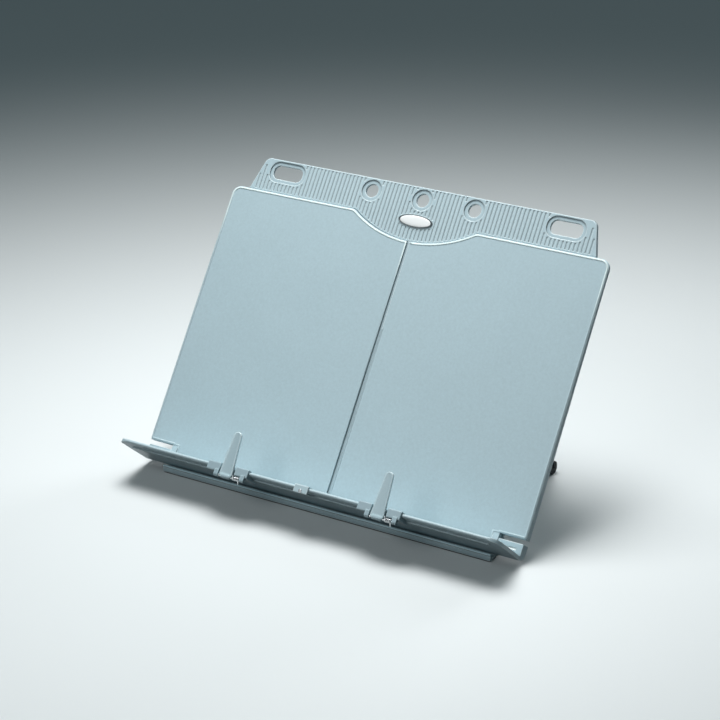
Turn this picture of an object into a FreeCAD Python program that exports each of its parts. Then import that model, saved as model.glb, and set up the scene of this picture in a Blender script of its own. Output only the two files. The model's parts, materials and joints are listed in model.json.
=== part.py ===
"""Tilting document holder with a folding ledge, sliding page clips and an easel leg.

World frame: +X right, +Y back, +Z up, z = 0 on the desk.  Four local frames are used.

board  x right, y up the page board from its foot, z out of its face
ledge  x right, y back along the ledge plate, z out of its page side; origin on the ledge hinge
leg    x right, y out of the leg's back, z up the leg; origin on the leg hinge
desk   the world frame, for the foot rail

All lengths are millimetres and all angles degrees.
"""

import FreeCAD
import Part

import math
import os
from types import SimpleNamespace

Vector = FreeCAD.Vector

DIMENSIONS = {
    # where the board stands
    "board_tilt": 54.0,
    "board_base_y": -0.8,
    "board_base_z": 4.9,
    # front panel
    "panel_width": 308.0,
    "panel_top": 214.0,
    "panel_wall": 2.4,
    "panel_foot": 6.0,
    "panel_corner": 7.0,
    "panel_foot_corner": 2.0,
    "panel_edge": 0.7,
    "scallop_half": 50.0,
    "scallop_depth": 15.4,
    "scallop_blend": 6.0,
    "groove_width": 2.0,
    "groove_depth": 0.9,
    "notch_width": 20.0,
    "notch_top": 14.5,
    "skirt_wall": 2.0,
    "skirt_depth": 6.4,
    "skirt_end": 200.0,
    # binder header
    "header_foot_half": 142.0,
    "header_top_half": 134.5,
    "header_rise": 25.6,
    "header_tongue": 21.0,
    "header_wall": 2.0,
    "header_face": 1.0,
    "header_corner": 4.5,
    "header_gap": 0.4,
    "ring_pitch": 42.0,
    "ring_rise": 16.2,
    "ring_radius": 5.0,
    "ring_margin": 3.0,
    "slot_inset": 8.2,
    "slot_length": 24.6,
    "slot_width": 10.6,
    "slot_corner": 4.6,
    "slot_margin": 2.7,
    "recess_depth": 0.8,
    "header_inset": 0.3,
    "header_edge": 0.35,
    "rib_pitch": 3.1,
    "rib_groove": 1.3,
    "rib_depth": 0.3,
    "rib_margin": 1.0,
    # badge
    "badge_length": 27.5,
    "badge_height": 9.0,
    "badge_wall": 1.6,
    "badge_seat": 0.8,
    # back shell
    "shell_half": 142.0,
    "shell_foot": 17.0,
    "shell_wall": 2.0,
    "shell_cavity": 2.0,
    "shell_rim": 2.4,
    "shell_corner": 6.0,
    "shell_rib": 1.6,
    "shell_edge": 1.2,
    # ledge and its hinge
    "hinge_rise": 6.8,
    "hinge_setback": 1.6,
    "ledge_tilt": 4.2,
    "ledge_half": 153.0,
    "ledge_depth": 44.6,
    "ledge_wall": 2.6,
    "ledge_corner": 9.0,
    "heel_radius": 6.8,
    "knuckle_top": 11.0,
    "guide_height": 1.2,
    "guide_width": 1.6,
    "guide_inset": 8.5,
    "pin_radius": 1.5,
    "pin_length": 19.0,
    "lug_radius": 3.0,
    "lug_width": 4.7,
    "running_gap": 0.05,
    "part_gap": 0.3,
    # foot rail
    "rail_half": 134.0,
    "rail_nose": 5.5,
    "rail_nose_height": 1.8,
    "rail_heel": 15.0,
    "rail_gap": 0.45,
    "rail_flange_top": 31.0,
    "rail_flange_wall": 2.4,
    "strip_wall": 0.9,
    "strip_inset": 0.6,
    # page clips
    "clip_left": 57.2,
    "clip_right": 64.6,
    "clip_half": 16.6,
    "clip_gap_half": 6.2,
    "clip_wall": 1.6,
    "clip_lip_wall": 0.7,
    "clip_jaw": 1.2,
    "clip_ear": 1.7,
    "clip_ear_width": 3.2,
    "spring_room": 5.6,
    "clip_foot": 9.7,
    "clip_lip": 4.5,
    "clip_reach": 13.0,
    "clip_edge": 0.5,
    "clip_toe_edge": 0.8,
    "clip_web_gap": 1.2,
    "finger_axis_drop": 11.6,
    "finger_axis_inset": -0.6,
    "finger_barrel": 1.8,
    "finger_width": 10.6,
    "finger_tip_width": 5.4,
    "finger_length": 32.0,
    "finger_wall": 2.2,
    "finger_edge": 0.4,
    "finger_pin_radius": 0.8,
    "spring_radius": 1.25,
    "spring_wire": 0.35,
    "spring_turns": 5.0,
    "spring_lead": 0.12,
    "spring_leg": 3.6,
    "spring_inset": 0.5,
    # centre tab
    "tab_width": 10.8,
    "tab_offset": 2.6,
    "tab_drop": 2.6,
    "tab_wall": 1.4,
    "rivet_radius": 0.9,
    "rivet_drop": 1.1,
    "rivet_head_radius": 1.3,
    "rivet_head_height": 0.6,
    "tab_lip": 5.0,
    # easel leg
    "leg_pivot_rise": 142.0,
    "leg_pivot_setback": 13.6,
    "leg_tilt": 20.5,
    "leg_half": 111.0,
    "leg_arm_width": 10.0,
    "leg_wall": 4.0,
    "leg_hub": 4.6,
    "leg_bar": 14.0,
    "leg_bar_rise": 22.0,
    "leg_corner": 6.0,
    "leg_window_inset": 4.0,
    "leg_window_corner": 8.0,
    "leg_rib": 1.6,
    "leg_rib_height": 1.6,
    "leg_rib_inset": 1.0,
    "leg_pin_radius": 2.0,
    "toe_inner": 1.0,
    "toe_socket": 8.0,
    "toe_wall": 0.8,
    "toe_tip": 35.0,
    "tenon_gap": 1.0,
    "ear_wall": 3.0,
    "ear_gap": 0.9,
    "washer_wall": 0.6,
    "bracket_wall": 2.0,
    "bracket_margin": 11.0,
    "bracket_corner": 2.0,
    "ear_flare": 2.0,
    # screws
    "screw_radius": 1.3,
    "screw_head_radius": 2.7,
    "screw_head_height": 1.5,
    "boss_radius": 3.2,
    "screw_skin": 0.8,
    "screw_row_foot": 28.0,
    "screw_row_top": 32.0,
    "screw_column_inner": 24.0,
    "screw_column_outer": 127.8,
    "rail_screw_inner": 40.2,
    "rail_screw_outer": 113.9,
}

doc = FreeCAD.newDocument("document_holder")
sheet = doc.addObject("Spreadsheet::Sheet", "dims")
parts = []


def fill_sheet():
    """Write the driving dimensions to the sheet and give each cell its alias."""
    for row, (alias, value) in enumerate(DIMENSIONS.items(), start=1):
        sheet.set(f"A{row}", alias)
        sheet.set(f"B{row}", str(value))
        sheet.setAlias(f"B{row}", alias)
    doc.recompute()


def read_sheet():
    """Give the sheet's values by name, with the few sizes that follow from them."""
    d = SimpleNamespace(**{alias: getattr(sheet, alias) for alias in DIMENSIONS})
    d.panel_half = d.panel_width / 2
    d.notch_half = d.panel_half - d.notch_width
    d.scallop_radius = (d.scallop_half**2 + d.scallop_depth**2) / (2 * d.scallop_depth)
    d.scallop_y = d.panel_top - d.scallop_depth + d.scallop_radius
    d.heel_inner = d.heel_radius - d.ledge_wall
    d.header_top = d.panel_top + d.header_rise
    d.slot_centre = d.header_top_half - d.slot_inset - d.slot_length / 2
    d.shell_back = d.panel_wall + d.shell_cavity + d.shell_wall
    d.ledge_base = -d.heel_radius
    d.ledge_face = d.ledge_base + d.ledge_wall
    d.toe_outer = d.toe_inner + d.leg_wall
    d.hub_half = d.leg_half - d.leg_arm_width / 2
    d.finger_axis_y = -(d.ledge_depth - d.finger_axis_inset)
    return d


# ---- frames --------------------------------------------------------------------------------


def turned(base, degrees):
    """Placement at base, turned about X."""
    return FreeCAD.Placement(base, FreeCAD.Rotation(Vector(1, 0, 0), degrees))


def board_frame():
    return turned(Vector(0, d.board_base_y, d.board_base_z), d.board_tilt)


def board_point(rise, out):
    """World point at a height up the board and a distance out of its face."""
    return board_frame().multVec(Vector(0, rise, out))


def ledge_frame(shift=0.0):
    """Ledge frame, moved along the hinge by shift."""
    origin = board_point(d.hinge_rise, -d.hinge_setback) + Vector(shift, 0, 0)
    return turned(origin, d.board_tilt - 90 - d.ledge_tilt)


def leg_frame():
    return turned(board_point(d.leg_pivot_rise, -d.leg_pivot_setback), d.leg_tilt)


def leg_length():
    """From the leg hinge down to the centre of the toe, so that the toe meets the desk."""
    pivot = board_point(d.leg_pivot_rise, -d.leg_pivot_setback)
    lean = math.radians(d.leg_tilt)
    toe_back = (d.toe_inner + d.toe_outer) / 2
    return (pivot.z - d.toe_outer + toe_back * math.sin(lean)) / math.cos(lean)


# ---- outlines ------------------------------------------------------------------------------


def loop(*corners):
    """Closed outline through (x, y) or (x, y, radius) corners, as lines and arcs."""
    starts, ends, arcs = [], [], []
    count = len(corners)
    for i, corner in enumerate(corners):
        here = Vector(corner[0], corner[1], 0)
        radius = corner[2] if len(corner) > 2 else 0
        if not radius:
            starts.append(here)
            ends.append(here)
            arcs.append(None)
            continue
        before = (Vector(*corners[i - 1][:2], 0) - here).normalize()
        after = (Vector(*corners[(i + 1) % count][:2], 0) - here).normalize()
        half = before.getAngle(after) / 2
        reach = radius / math.tan(half)
        middle = (before + after).normalize() * (radius / math.sin(half) - radius)
        starts.append(here + before * reach)
        ends.append(here + after * reach)
        arcs.append(Part.Arc(starts[-1], here + middle, ends[-1]))
    edges = []
    for i in range(count):
        if arcs[i]:
            edges.append(arcs[i])
        following = starts[(i + 1) % count]
        if (following - ends[i]).Length > 1e-6:
            edges.append(Part.LineSegment(ends[i], following))
    return edges


def box_loop(x0, x1, y0, y1, radius=0):
    """Rectangle with corners rounded to radius."""
    return loop((x0, y0, radius), (x1, y0, radius), (x1, y1, radius), (x0, y1, radius))


def circle(x, y, radius):
    return [Part.Circle(Vector(x, y, 0), Vector(0, 0, 1), radius)]


def polar(x, y, radius, degrees):
    """Point on a circle, as an (x, y) pair."""
    angle = math.radians(degrees)
    return x + radius * math.cos(angle), y + radius * math.sin(angle)


def path(*steps):
    """Closed outline: each step is an (x, y) corner or ((x, y), (x, y)), an arc's middle and end."""
    edges = []
    here = Vector(*steps[0], 0)
    first = here
    for step in steps[1:]:
        if isinstance(step[0], tuple):
            middle, end = (Vector(*p, 0) for p in step)
            edges.append(Part.Arc(here, middle, end))
        else:
            end = Vector(*step, 0)
            edges.append(Part.LineSegment(here, end))
        here = end
    if (here - first).Length > 1e-6:
        edges.append(Part.LineSegment(here, first))
    return edges


# ---- features ------------------------------------------------------------------------------


def new_body(label):
    body = doc.addObject("PartDesign::Body", label)
    body.Label = label
    parts.append(body)
    return body


def sketch(body, role, start, loops):
    """Sketch on an origin plane of the body, moved along the plane's normal to `start`."""
    plane = next(f for f in body.Origin.OriginFeatures if f.Role == role)
    drawn = body.newObject("Sketcher::SketchObject", "sketch")
    drawn.AttachmentSupport = [(plane, "")]
    drawn.MapMode = "FlatFace"
    drawn.setExpression(".AttachmentOffset.Base.z", start)
    for edges in loops:
        drawn.addGeometry(edges, False)
    drawn.Visibility = False
    return drawn


def pad(body, role, start, length, *loops):
    """Add a prism from start, along the plane's normal; both are sheet expressions."""
    feature = body.newObject("PartDesign::Pad", "pad")
    feature.Profile = sketch(body, role, start, loops)
    feature.setExpression("Length", length)
    doc.recompute()
    return feature


def pocket(body, role, start, length, *loops):
    """Cut a prism from start, along the plane's normal, and make sure that it cuts."""
    before = body.Shape.Volume
    feature = body.newObject("PartDesign::Pocket", "pocket")
    feature.Profile = sketch(body, role, start, loops)
    feature.Reversed = True
    feature.setExpression("Length", length)
    doc.recompute()
    if body.Shape.Volume > before - 1e-3:
        raise RuntimeError(f"a pocket in {body.Label} cuts nothing")
    return feature


def fillet(body, radius, chosen):
    """Round the edges for which chosen(edge) is true."""
    tip = body.Tip
    names = [f"Edge{i}" for i, edge in enumerate(tip.Shape.Edges, start=1) if chosen(edge)]
    if not names:
        raise RuntimeError(f"a fillet in {body.Label} finds no edge")
    feature = body.newObject("PartDesign::Fillet", "fillet")
    feature.Base = (tip, names)
    feature.setExpression("Radius", radius)
    doc.recompute()
    return feature


def along(edge, axis):
    """True if the edge is straight and runs along the axis."""
    if edge.Curve.TypeId != "Part::GeomLine":
        return False
    return abs(edge.Curve.Direction.dot(axis)) > 0.999


def level(edge, height):
    """True if the edge lies all along at this height of the sub-part's own frame."""
    return all(abs(v.Z - height) < 1e-4 for v in edge.Vertexes) and abs(
        edge.CenterOfMass.z - height) < 1e-4


def rod(label, radius, length, base, placement):
    """Round pin along X from base, in the frame of placement; radius and length are expressions."""
    pin = doc.addObject("Part::Cylinder", label)
    pin.Label = label
    pin.setExpression("Radius", radius)
    pin.setExpression("Height", length)
    local = FreeCAD.Placement(base, FreeCAD.Rotation(Vector(0, 1, 0), 90))
    pin.Placement = placement.multiply(local)
    parts.append(pin)
    return pin


def shape_part(label, shape, placement):
    """Sub-part whose shape is worked out from the sheet's values."""
    feature = doc.addObject("Part::Feature", label)
    feature.Label = label
    feature.Shape = shape
    feature.Placement = placement
    parts.append(feature)
    return feature


def side_name(side):
    return "left" if side < 0 else "right"


# ---- board ---------------------------------------------------------------------------------


def shell_screw_points():
    """Screws that join the back shell to the front panel, clear of leg and rail."""
    rows = (d.shell_foot + d.screw_row_foot, (d.shell_foot + d.panel_top) / 2,
            d.panel_top - d.screw_row_top)
    inner, outer = d.screw_column_inner, d.screw_column_outer
    columns = (-outer, -inner, inner, outer)
    return [(x, y) for y in rows for x in columns]


def front_panel():
    """Page board with scallop, centre groove, foot notches, side skirts and hinge lugs."""
    body = new_body("front_panel")
    half, notch, top = d.panel_half, d.notch_half, d.panel_top
    corner, foot = d.panel_corner, d.panel_foot_corner
    outline = loop(
        (-notch, d.panel_foot, foot), (notch, d.panel_foot, foot),
        (notch, d.notch_top), (half, d.notch_top, foot),
        (half, top, corner), (-half, top, corner),
        (-half, d.notch_top, foot), (-notch, d.notch_top),
    )
    pad(body, "XY_Plane", "-dims.panel_wall", "dims.panel_wall", outline)
    pocket(body, "XY_Plane", "-dims.panel_wall", "dims.panel_wall",
           circle(0, d.scallop_y, d.scallop_radius))
    fillet(body, "dims.scallop_blend", lambda e: along(e, Vector(0, 0, 1))
           and abs(abs(e.CenterOfMass.x) - d.scallop_half) < 1
           and abs(e.CenterOfMass.y - d.panel_top) < 1)
    fillet(body, "dims.panel_edge",
           lambda e: level(e, 0.0) and e.CenterOfMass.y > d.notch_top + d.panel_foot_corner)
    side = [(d.notch_top, -d.panel_wall / 2), (d.skirt_end, -d.panel_wall / 2),
            (d.skirt_end, -d.panel_wall), (d.notch_top, -d.skirt_depth)]
    edge = [(d.notch_top, -d.panel_wall / 2), (d.notch_top + d.skirt_wall, -d.panel_wall / 2),
            (d.notch_top + d.skirt_wall, -d.skirt_depth + 0.1), (d.notch_top, -d.skirt_depth)]
    pad(body, "YZ_Plane", "dims.panel_width / 2 - dims.skirt_wall", "dims.skirt_wall", loop(*side))
    pad(body, "YZ_Plane", "-dims.panel_width / 2", "dims.skirt_wall", loop(*side))
    pad(body, "YZ_Plane", "dims.panel_width / 2 - dims.notch_width",
        "dims.notch_width", loop(*edge))
    pad(body, "YZ_Plane", "-dims.panel_width / 2", "dims.notch_width", loop(*edge))
    seat = d.notch_top + d.skirt_wall
    lug = path(
        (seat, 0.0), (d.notch_top, 0.0), (d.hinge_rise, d.lug_radius - d.hinge_setback),
        ((d.hinge_rise - d.lug_radius, -d.hinge_setback),
         (d.hinge_rise, -d.lug_radius - d.hinge_setback)),
        (seat, -d.lug_radius - d.hinge_setback),
    )
    pad(body, "YZ_Plane", "dims.panel_width / 2 - dims.notch_width - dims.lug_width",
        "dims.lug_width", lug)
    pad(body, "YZ_Plane", "-dims.panel_width / 2 + dims.notch_width", "dims.lug_width", lug)
    bore = circle(d.hinge_rise, -d.hinge_setback, d.pin_radius)
    pocket(body, "YZ_Plane", "dims.panel_width / 2 - dims.notch_width - dims.lug_width",
           "dims.lug_width", bore)
    pocket(body, "YZ_Plane", "-dims.panel_width / 2 + dims.notch_width", "dims.lug_width", bore)
    bosses = [circle(x, y, d.boss_radius) for x, y in shell_screw_points()]
    pad(body, "XY_Plane", "-dims.panel_wall - dims.shell_cavity",
        "dims.shell_cavity + 0.1 * dims.panel_wall", *bosses)
    holes = [circle(x, y, d.screw_radius) for x, y in shell_screw_points()]
    pocket(body, "XY_Plane", "-dims.panel_wall - dims.shell_cavity",
           "dims.shell_cavity + dims.panel_wall - dims.screw_skin", *holes)
    groove = box_loop(-d.groove_width / 2, d.groove_width / 2, 0, d.panel_top)
    pocket(body, "XY_Plane", "-dims.groove_depth", "dims.groove_depth", groove)
    body.Placement = board_frame()


def slot_loop(centre, grow):
    """Rounded slot outline at a header slot, larger by grow all round."""
    along_x = d.slot_length / 2 + grow
    along_y = d.slot_width / 2 + grow
    rise = d.panel_top + d.ring_rise
    return box_loop(centre - along_x, centre + along_x, rise - along_y, rise + along_y,
                    d.slot_corner + grow)


def header_outline(inset):
    """The part of the header that shows: a trapezoid with the lobe that fills the scallop."""
    foot = d.panel_top + d.header_gap
    half = d.header_foot_half - inset
    radius = d.scallop_radius - d.header_gap
    lobe_half = math.sqrt(radius**2 - (d.scallop_y - foot) ** 2)
    corner = d.header_corner
    top_half = d.header_top_half
    slant = math.hypot(half - top_half, d.header_top - foot)
    lean_x = (half - top_half) / slant * corner
    lean_y = (d.header_top - foot) / slant * corner
    turn = math.atan2(lean_y, lean_x)
    cut_x = corner * math.cos(turn / 2)
    right = [(half, foot), (top_half + lean_x, d.header_top - lean_y)]
    mid = (top_half - corner * 0.22, d.header_top - corner * 0.22)
    left = [(-x, y) for x, y in reversed(right)]
    return path(
        (lobe_half, foot), right[0], right[1],
        (mid, (top_half - cut_x, d.header_top)),
        (-(top_half - cut_x), d.header_top),
        ((-mid[0], mid[1]), left[0]), left[1], (-lobe_half, foot),
        ((0, d.scallop_y - radius), (lobe_half, foot)),
    )


def chord(x, along_x, along_y, corner):
    """Half the height of a rounded box at x from its middle, or zero beyond its ends."""
    flat = along_x - corner
    if abs(x) >= along_x:
        return 0.0
    return along_y - corner + math.sqrt(corner**2 - max(abs(x) - flat, 0.0) ** 2)


def rib_spans(x):
    """Stretches of the groove at x, as (low, high) pairs clear of recesses, badge and edges."""
    margin = d.rib_margin
    reach = abs(x) + d.rib_groove / 2
    foot = d.panel_top + d.header_gap
    radius = d.scallop_radius - d.header_gap
    dip = d.scallop_y - math.sqrt(max(radius**2 - reach**2, 0.0))
    low = min(foot, dip) + margin
    high = d.header_top - margin
    if reach > d.header_top_half - d.header_corner:
        high -= d.header_corner
    slope = (d.header_foot_half - d.header_top_half) / d.header_rise
    spare = d.header_foot_half - d.header_inset - margin - reach
    if slope > 0:
        high = min(high, foot + spare / slope)
    elif slope < 0:
        low = max(low, foot + spare / slope)
    elif spare < 0:
        return []
    rise = d.panel_top + d.ring_rise
    ring = d.ring_radius + d.ring_margin + margin
    grow = d.slot_margin + margin
    slot = (d.slot_length / 2 + grow, d.slot_width / 2 + grow, d.slot_corner + grow)
    islands = [(centre, rise, (ring, ring, ring)) for centre in (-d.ring_pitch, 0.0, d.ring_pitch)]
    islands += [(centre, rise, slot) for centre in (-d.slot_centre, d.slot_centre)]
    spans = [(low, high)]
    for centre, middle, sizes in islands:
        near = max(abs(x - centre) - d.rib_groove / 2, 0.0)
        half = chord(near, *sizes)
        if half:
            spans = cut_span(spans, middle - half, middle + half)
    across, tall = d.badge_length / 2 + margin, d.badge_height / 2 + margin
    near = max(abs(x) - d.rib_groove / 2, 0.0)
    if near < across:
        half = tall * math.sqrt(1 - (near / across) ** 2)
        spans = cut_span(spans, d.panel_top - half, d.panel_top + half)
    return [(a, b) for a, b in spans if b - a > d.rib_groove]


def cut_span(spans, low, high):
    """The stretches that are left of spans once low to high is taken out."""
    left = []
    for start, end in spans:
        left += [(start, min(end, low)), (max(start, high), end)]
    return [(a, b) for a, b in left if b > a]


def rib_grooves():
    """Grooves between the ribs that run up the header's face, as outlines."""
    widest = max(d.header_foot_half, d.header_top_half)
    count = int((widest - d.rib_margin) / d.rib_pitch)
    width = d.rib_groove / 2
    places = [d.rib_pitch * k for k in range(-count, count + 1)]
    return [box_loop(x - width, x + width, a, b) for x in places for a, b in rib_spans(x)]


def binder_header():
    """Ribbed header strip with ring holes and slots in flat recesses, and a tongue behind."""
    body = new_body("binder_header")
    half, top_half = d.header_foot_half, d.header_top_half
    base = d.panel_top - d.header_tongue
    strip = loop(
        (-half, base), (half, base), (half, d.panel_top),
        (top_half, d.header_top, d.header_corner), (-top_half, d.header_top, d.header_corner),
        (-half, d.panel_top),
    )
    pad(body, "XY_Plane", "-dims.panel_wall - dims.header_wall", "dims.header_wall", strip)
    pad(body, "XY_Plane", "-dims.panel_wall", "dims.header_face",
        header_outline(d.header_inset))
    face = d.header_face - d.panel_wall
    fillet(body, "dims.header_edge", lambda e: level(e, face))
    rise = d.panel_top + d.ring_rise
    rings = [(x, rise) for x in (-d.ring_pitch, 0.0, d.ring_pitch)]
    slots = (-d.slot_centre, d.slot_centre)
    recess = [circle(x, y, d.ring_radius + d.ring_margin) for x, y in rings]
    recess += [slot_loop(x, d.slot_margin) for x in slots]
    pocket(body, "XY_Plane", "-dims.panel_wall + dims.header_face - dims.recess_depth",
           "dims.recess_depth", *recess)
    holes = [circle(x, y, d.ring_radius) for x, y in rings] + [slot_loop(x, 0) for x in slots]
    pocket(body, "XY_Plane", "-dims.panel_wall - dims.header_wall",
           "dims.header_wall + dims.header_face", *holes)
    seat = [Part.Ellipse(Vector(0, d.panel_top, 0), d.badge_length / 2, d.badge_height / 2)]
    pocket(body, "XY_Plane", "-dims.panel_wall + dims.header_face - dims.badge_seat",
           "dims.badge_seat", seat)
    pocket(body, "XY_Plane", "-dims.panel_wall + dims.header_face - dims.rib_depth",
           "dims.rib_depth", *rib_grooves())
    body.Placement = board_frame()


def badge():
    """Blank oval plate, seated in the header's lobe."""
    body = new_body("badge")
    oval = [Part.Ellipse(Vector(0, d.panel_top, 0), d.badge_length / 2, d.badge_height / 2)]
    pad(body, "XY_Plane", "-dims.panel_wall + dims.header_face - dims.badge_seat",
        "dims.badge_wall", oval)
    fillet(body, "dims.badge_wall / 4", lambda e: e.CenterOfMass.z > d.header_face - d.panel_wall)
    body.Placement = board_frame()


def back_shell():
    """Rear cover: a shallow ribbed tray that closes the board from behind."""
    body = new_body("back_shell")
    half, foot, top = d.shell_half, d.shell_foot, d.panel_top
    notch = d.notch_half - d.part_gap
    ledge_top = d.notch_top + d.skirt_wall + d.part_gap
    outline = box_loop(-half, half, max(foot, ledge_top), top - d.part_gap, d.shell_corner)
    pad(body, "XY_Plane", "-dims.panel_wall - dims.shell_cavity - dims.shell_wall",
        "dims.shell_cavity + dims.shell_wall", outline)
    fillet(body, "dims.shell_edge", lambda e: level(e, -d.shell_back))
    rim = d.shell_rim
    tongue = top - d.header_tongue
    floor = max(foot, ledge_top) + rim
    columns = [-half + rim, -notch / 2, 0.0, notch / 2, half - rim]
    cells = []
    for left, right in zip(columns, columns[1:]):
        inner = d.shell_rib / 2
        x0 = left + (inner if left > -half + rim else 0)
        x1 = right - (inner if right < half - rim else 0)
        cells.append(box_loop(x0, x1, floor, tongue - rim, d.shell_rib))
    pocket(body, "XY_Plane", "-dims.panel_wall - dims.shell_cavity", "dims.shell_cavity", *cells)
    shelf = box_loop(-half - 1, half + 1, tongue, top + 1)
    pocket(body, "XY_Plane", "-dims.panel_wall - dims.header_wall", "dims.header_wall", shelf)
    own = rail_screw_points() + bracket_screw_points(-1) + bracket_screw_points(1)
    pad(body, "XY_Plane", "-dims.panel_wall - dims.shell_cavity - 0.5 * dims.shell_wall",
        "dims.shell_cavity + 0.5 * dims.shell_wall", *[circle(x, y, d.boss_radius) for x, y in own])
    back = "-dims.panel_wall - dims.shell_cavity - dims.shell_wall"
    through = [circle(x, y, d.screw_radius) for x, y in shell_screw_points()]
    pocket(body, "XY_Plane", back, "dims.shell_wall", *through)
    blind = [circle(x, y, d.screw_radius) for x, y in own]
    pocket(body, "XY_Plane", back, "dims.shell_wall + dims.shell_cavity - dims.screw_skin", *blind)
    body.Placement = board_frame()


def screw_group(label, points, under_head, depth):
    """Pan-head screws at (x, y) points, heads behind the plane z = under_head, as one node."""
    solids = []
    for x, y in points:
        shank = Part.makeCylinder(d.screw_radius, depth, Vector(x, y, under_head))
        head = Part.makeCylinder(d.screw_head_radius, d.screw_head_height,
                                 Vector(x, y, under_head), Vector(0, 0, -1))
        rim = [e for e in head.Edges if abs(e.CenterOfMass.z - under_head) > 0.1
               and e.Curve.TypeId == "Part::GeomCircle"]
        solids.append(head.makeFillet(d.screw_head_height / 2, rim).fuse(shank).removeSplitter())
    shape_part(label, Part.makeCompound(solids), board_frame())


def screws():
    """Shell screws into the front panel; rail and bracket screws into the shell's bosses."""
    tip = -d.screw_skin - d.running_gap
    screw_group("shell_screws", shell_screw_points(), -d.shell_back, tip + d.shell_back)
    grip = tip - d.panel_wall
    rail = -d.shell_back - d.rail_flange_wall
    screw_group("rail_screws", rail_screw_points(), rail, grip - rail)
    bracket = -d.shell_back - d.bracket_wall
    points = bracket_screw_points(-1) + bracket_screw_points(1)
    screw_group("bracket_screws", points, bracket, grip - bracket)


# ---- foot rail -----------------------------------------------------------------------------


def rail_screw_points():
    rise = (d.rail_flange_top + d.shell_foot) / 2
    inner, outer = d.rail_screw_inner, d.rail_screw_outer
    return [(x, rise) for x in (-outer, -inner, inner, outer)]


def board_side(y, z):
    """Point of the world's side view in the board's side view, as a (rise, out) pair."""
    local = board_frame().inverse().multVec(Vector(0, y, z))
    return local.y, local.z


def foot_rail():
    """Bar under the heel: a sloping nose, a trough for the heel, and a flange behind the board."""
    body = new_body("foot_rail")
    hinge = (d.hinge_rise, -d.hinge_setback)
    trough = d.heel_radius + d.rail_gap
    stop = d.heel_inner + d.rail_gap
    centre = board_point(*hinge)
    ridge_height = centre.z - math.sqrt(trough**2 - centre.y**2)
    ridge = board_side(0.0, ridge_height)
    ridge_angle = math.degrees(math.atan2(ridge[1] - hinge[1], ridge[0] - hinge[0]))
    heel_angle = -90 - d.ledge_tilt + math.degrees(d.rail_gap / d.heel_inner)

    def on(radius, degrees):
        return polar(*hinge, radius, degrees)

    front = -d.shell_back
    rear = front - d.rail_flange_wall
    foot = d.shell_foot - d.part_gap
    bottom = ((ridge_angle if ridge_angle < 0 else ridge_angle - 360) + heel_angle) / 2
    profile = path(
        board_side(-d.rail_nose, d.strip_wall), board_side(-d.rail_nose, d.rail_nose_height),
        ridge, (on(trough, bottom), on(trough, heel_angle)), on(stop, heel_angle),
        (foot, front), (d.rail_flange_top, front), (d.rail_flange_top, rear),
        (d.hinge_rise + d.rail_flange_wall, rear), board_side(d.rail_heel, d.strip_wall),
    )
    pad(body, "YZ_Plane", "-dims.rail_half", "2 * dims.rail_half", profile)
    holes = [circle(x, y, d.screw_radius) for x, y in rail_screw_points()]
    pocket(body, "XY_Plane", "-dims.panel_wall - dims.shell_cavity - dims.shell_wall"
           " - dims.rail_flange_wall", "dims.rail_flange_wall", *holes)
    body.Placement = board_frame()


def rubber_strip():
    """Anti-slip strip under the foot rail, where the holder stands."""
    strip = doc.addObject("Part::Box", "rubber_strip")
    strip.Label = "rubber_strip"
    strip.setExpression("Length", "2 * (dims.rail_half - dims.strip_inset)")
    strip.setExpression("Width", "dims.rail_nose + dims.rail_heel - 2 * dims.strip_inset")
    strip.setExpression("Height", "dims.strip_wall")
    strip.setExpression(".Placement.Base.x", "dims.strip_inset - dims.rail_half")
    strip.setExpression(".Placement.Base.y", "dims.strip_inset - dims.rail_nose")
    parts.append(strip)


# ---- ledge ---------------------------------------------------------------------------------


def ledge_point(rise, out):
    """Point of the board's side view in the ledge's side view, as a (y, z) pair."""
    tilt = math.radians(d.ledge_tilt)
    up, forward = rise - d.hinge_rise, out + d.hinge_setback
    return (-forward * math.cos(tilt) - up * math.sin(tilt),
            up * math.cos(tilt) - forward * math.sin(tilt))


def knuckle():
    """D-shaped end of the heel: flat in front, in the plane of the board, and round behind."""
    radius = d.heel_radius
    seat = ledge_point(d.hinge_rise + d.ledge_base + d.ledge_wall / 2, 0.0)
    return path(
        (0.0, -radius),
        (polar(0, 0, radius, (d.ledge_tilt - 90) / 2), polar(0, 0, radius, d.ledge_tilt)),
        ledge_point(d.knuckle_top, -d.hinge_setback - radius),
        ledge_point(d.knuckle_top, 0.0), seat,
    )


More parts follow.
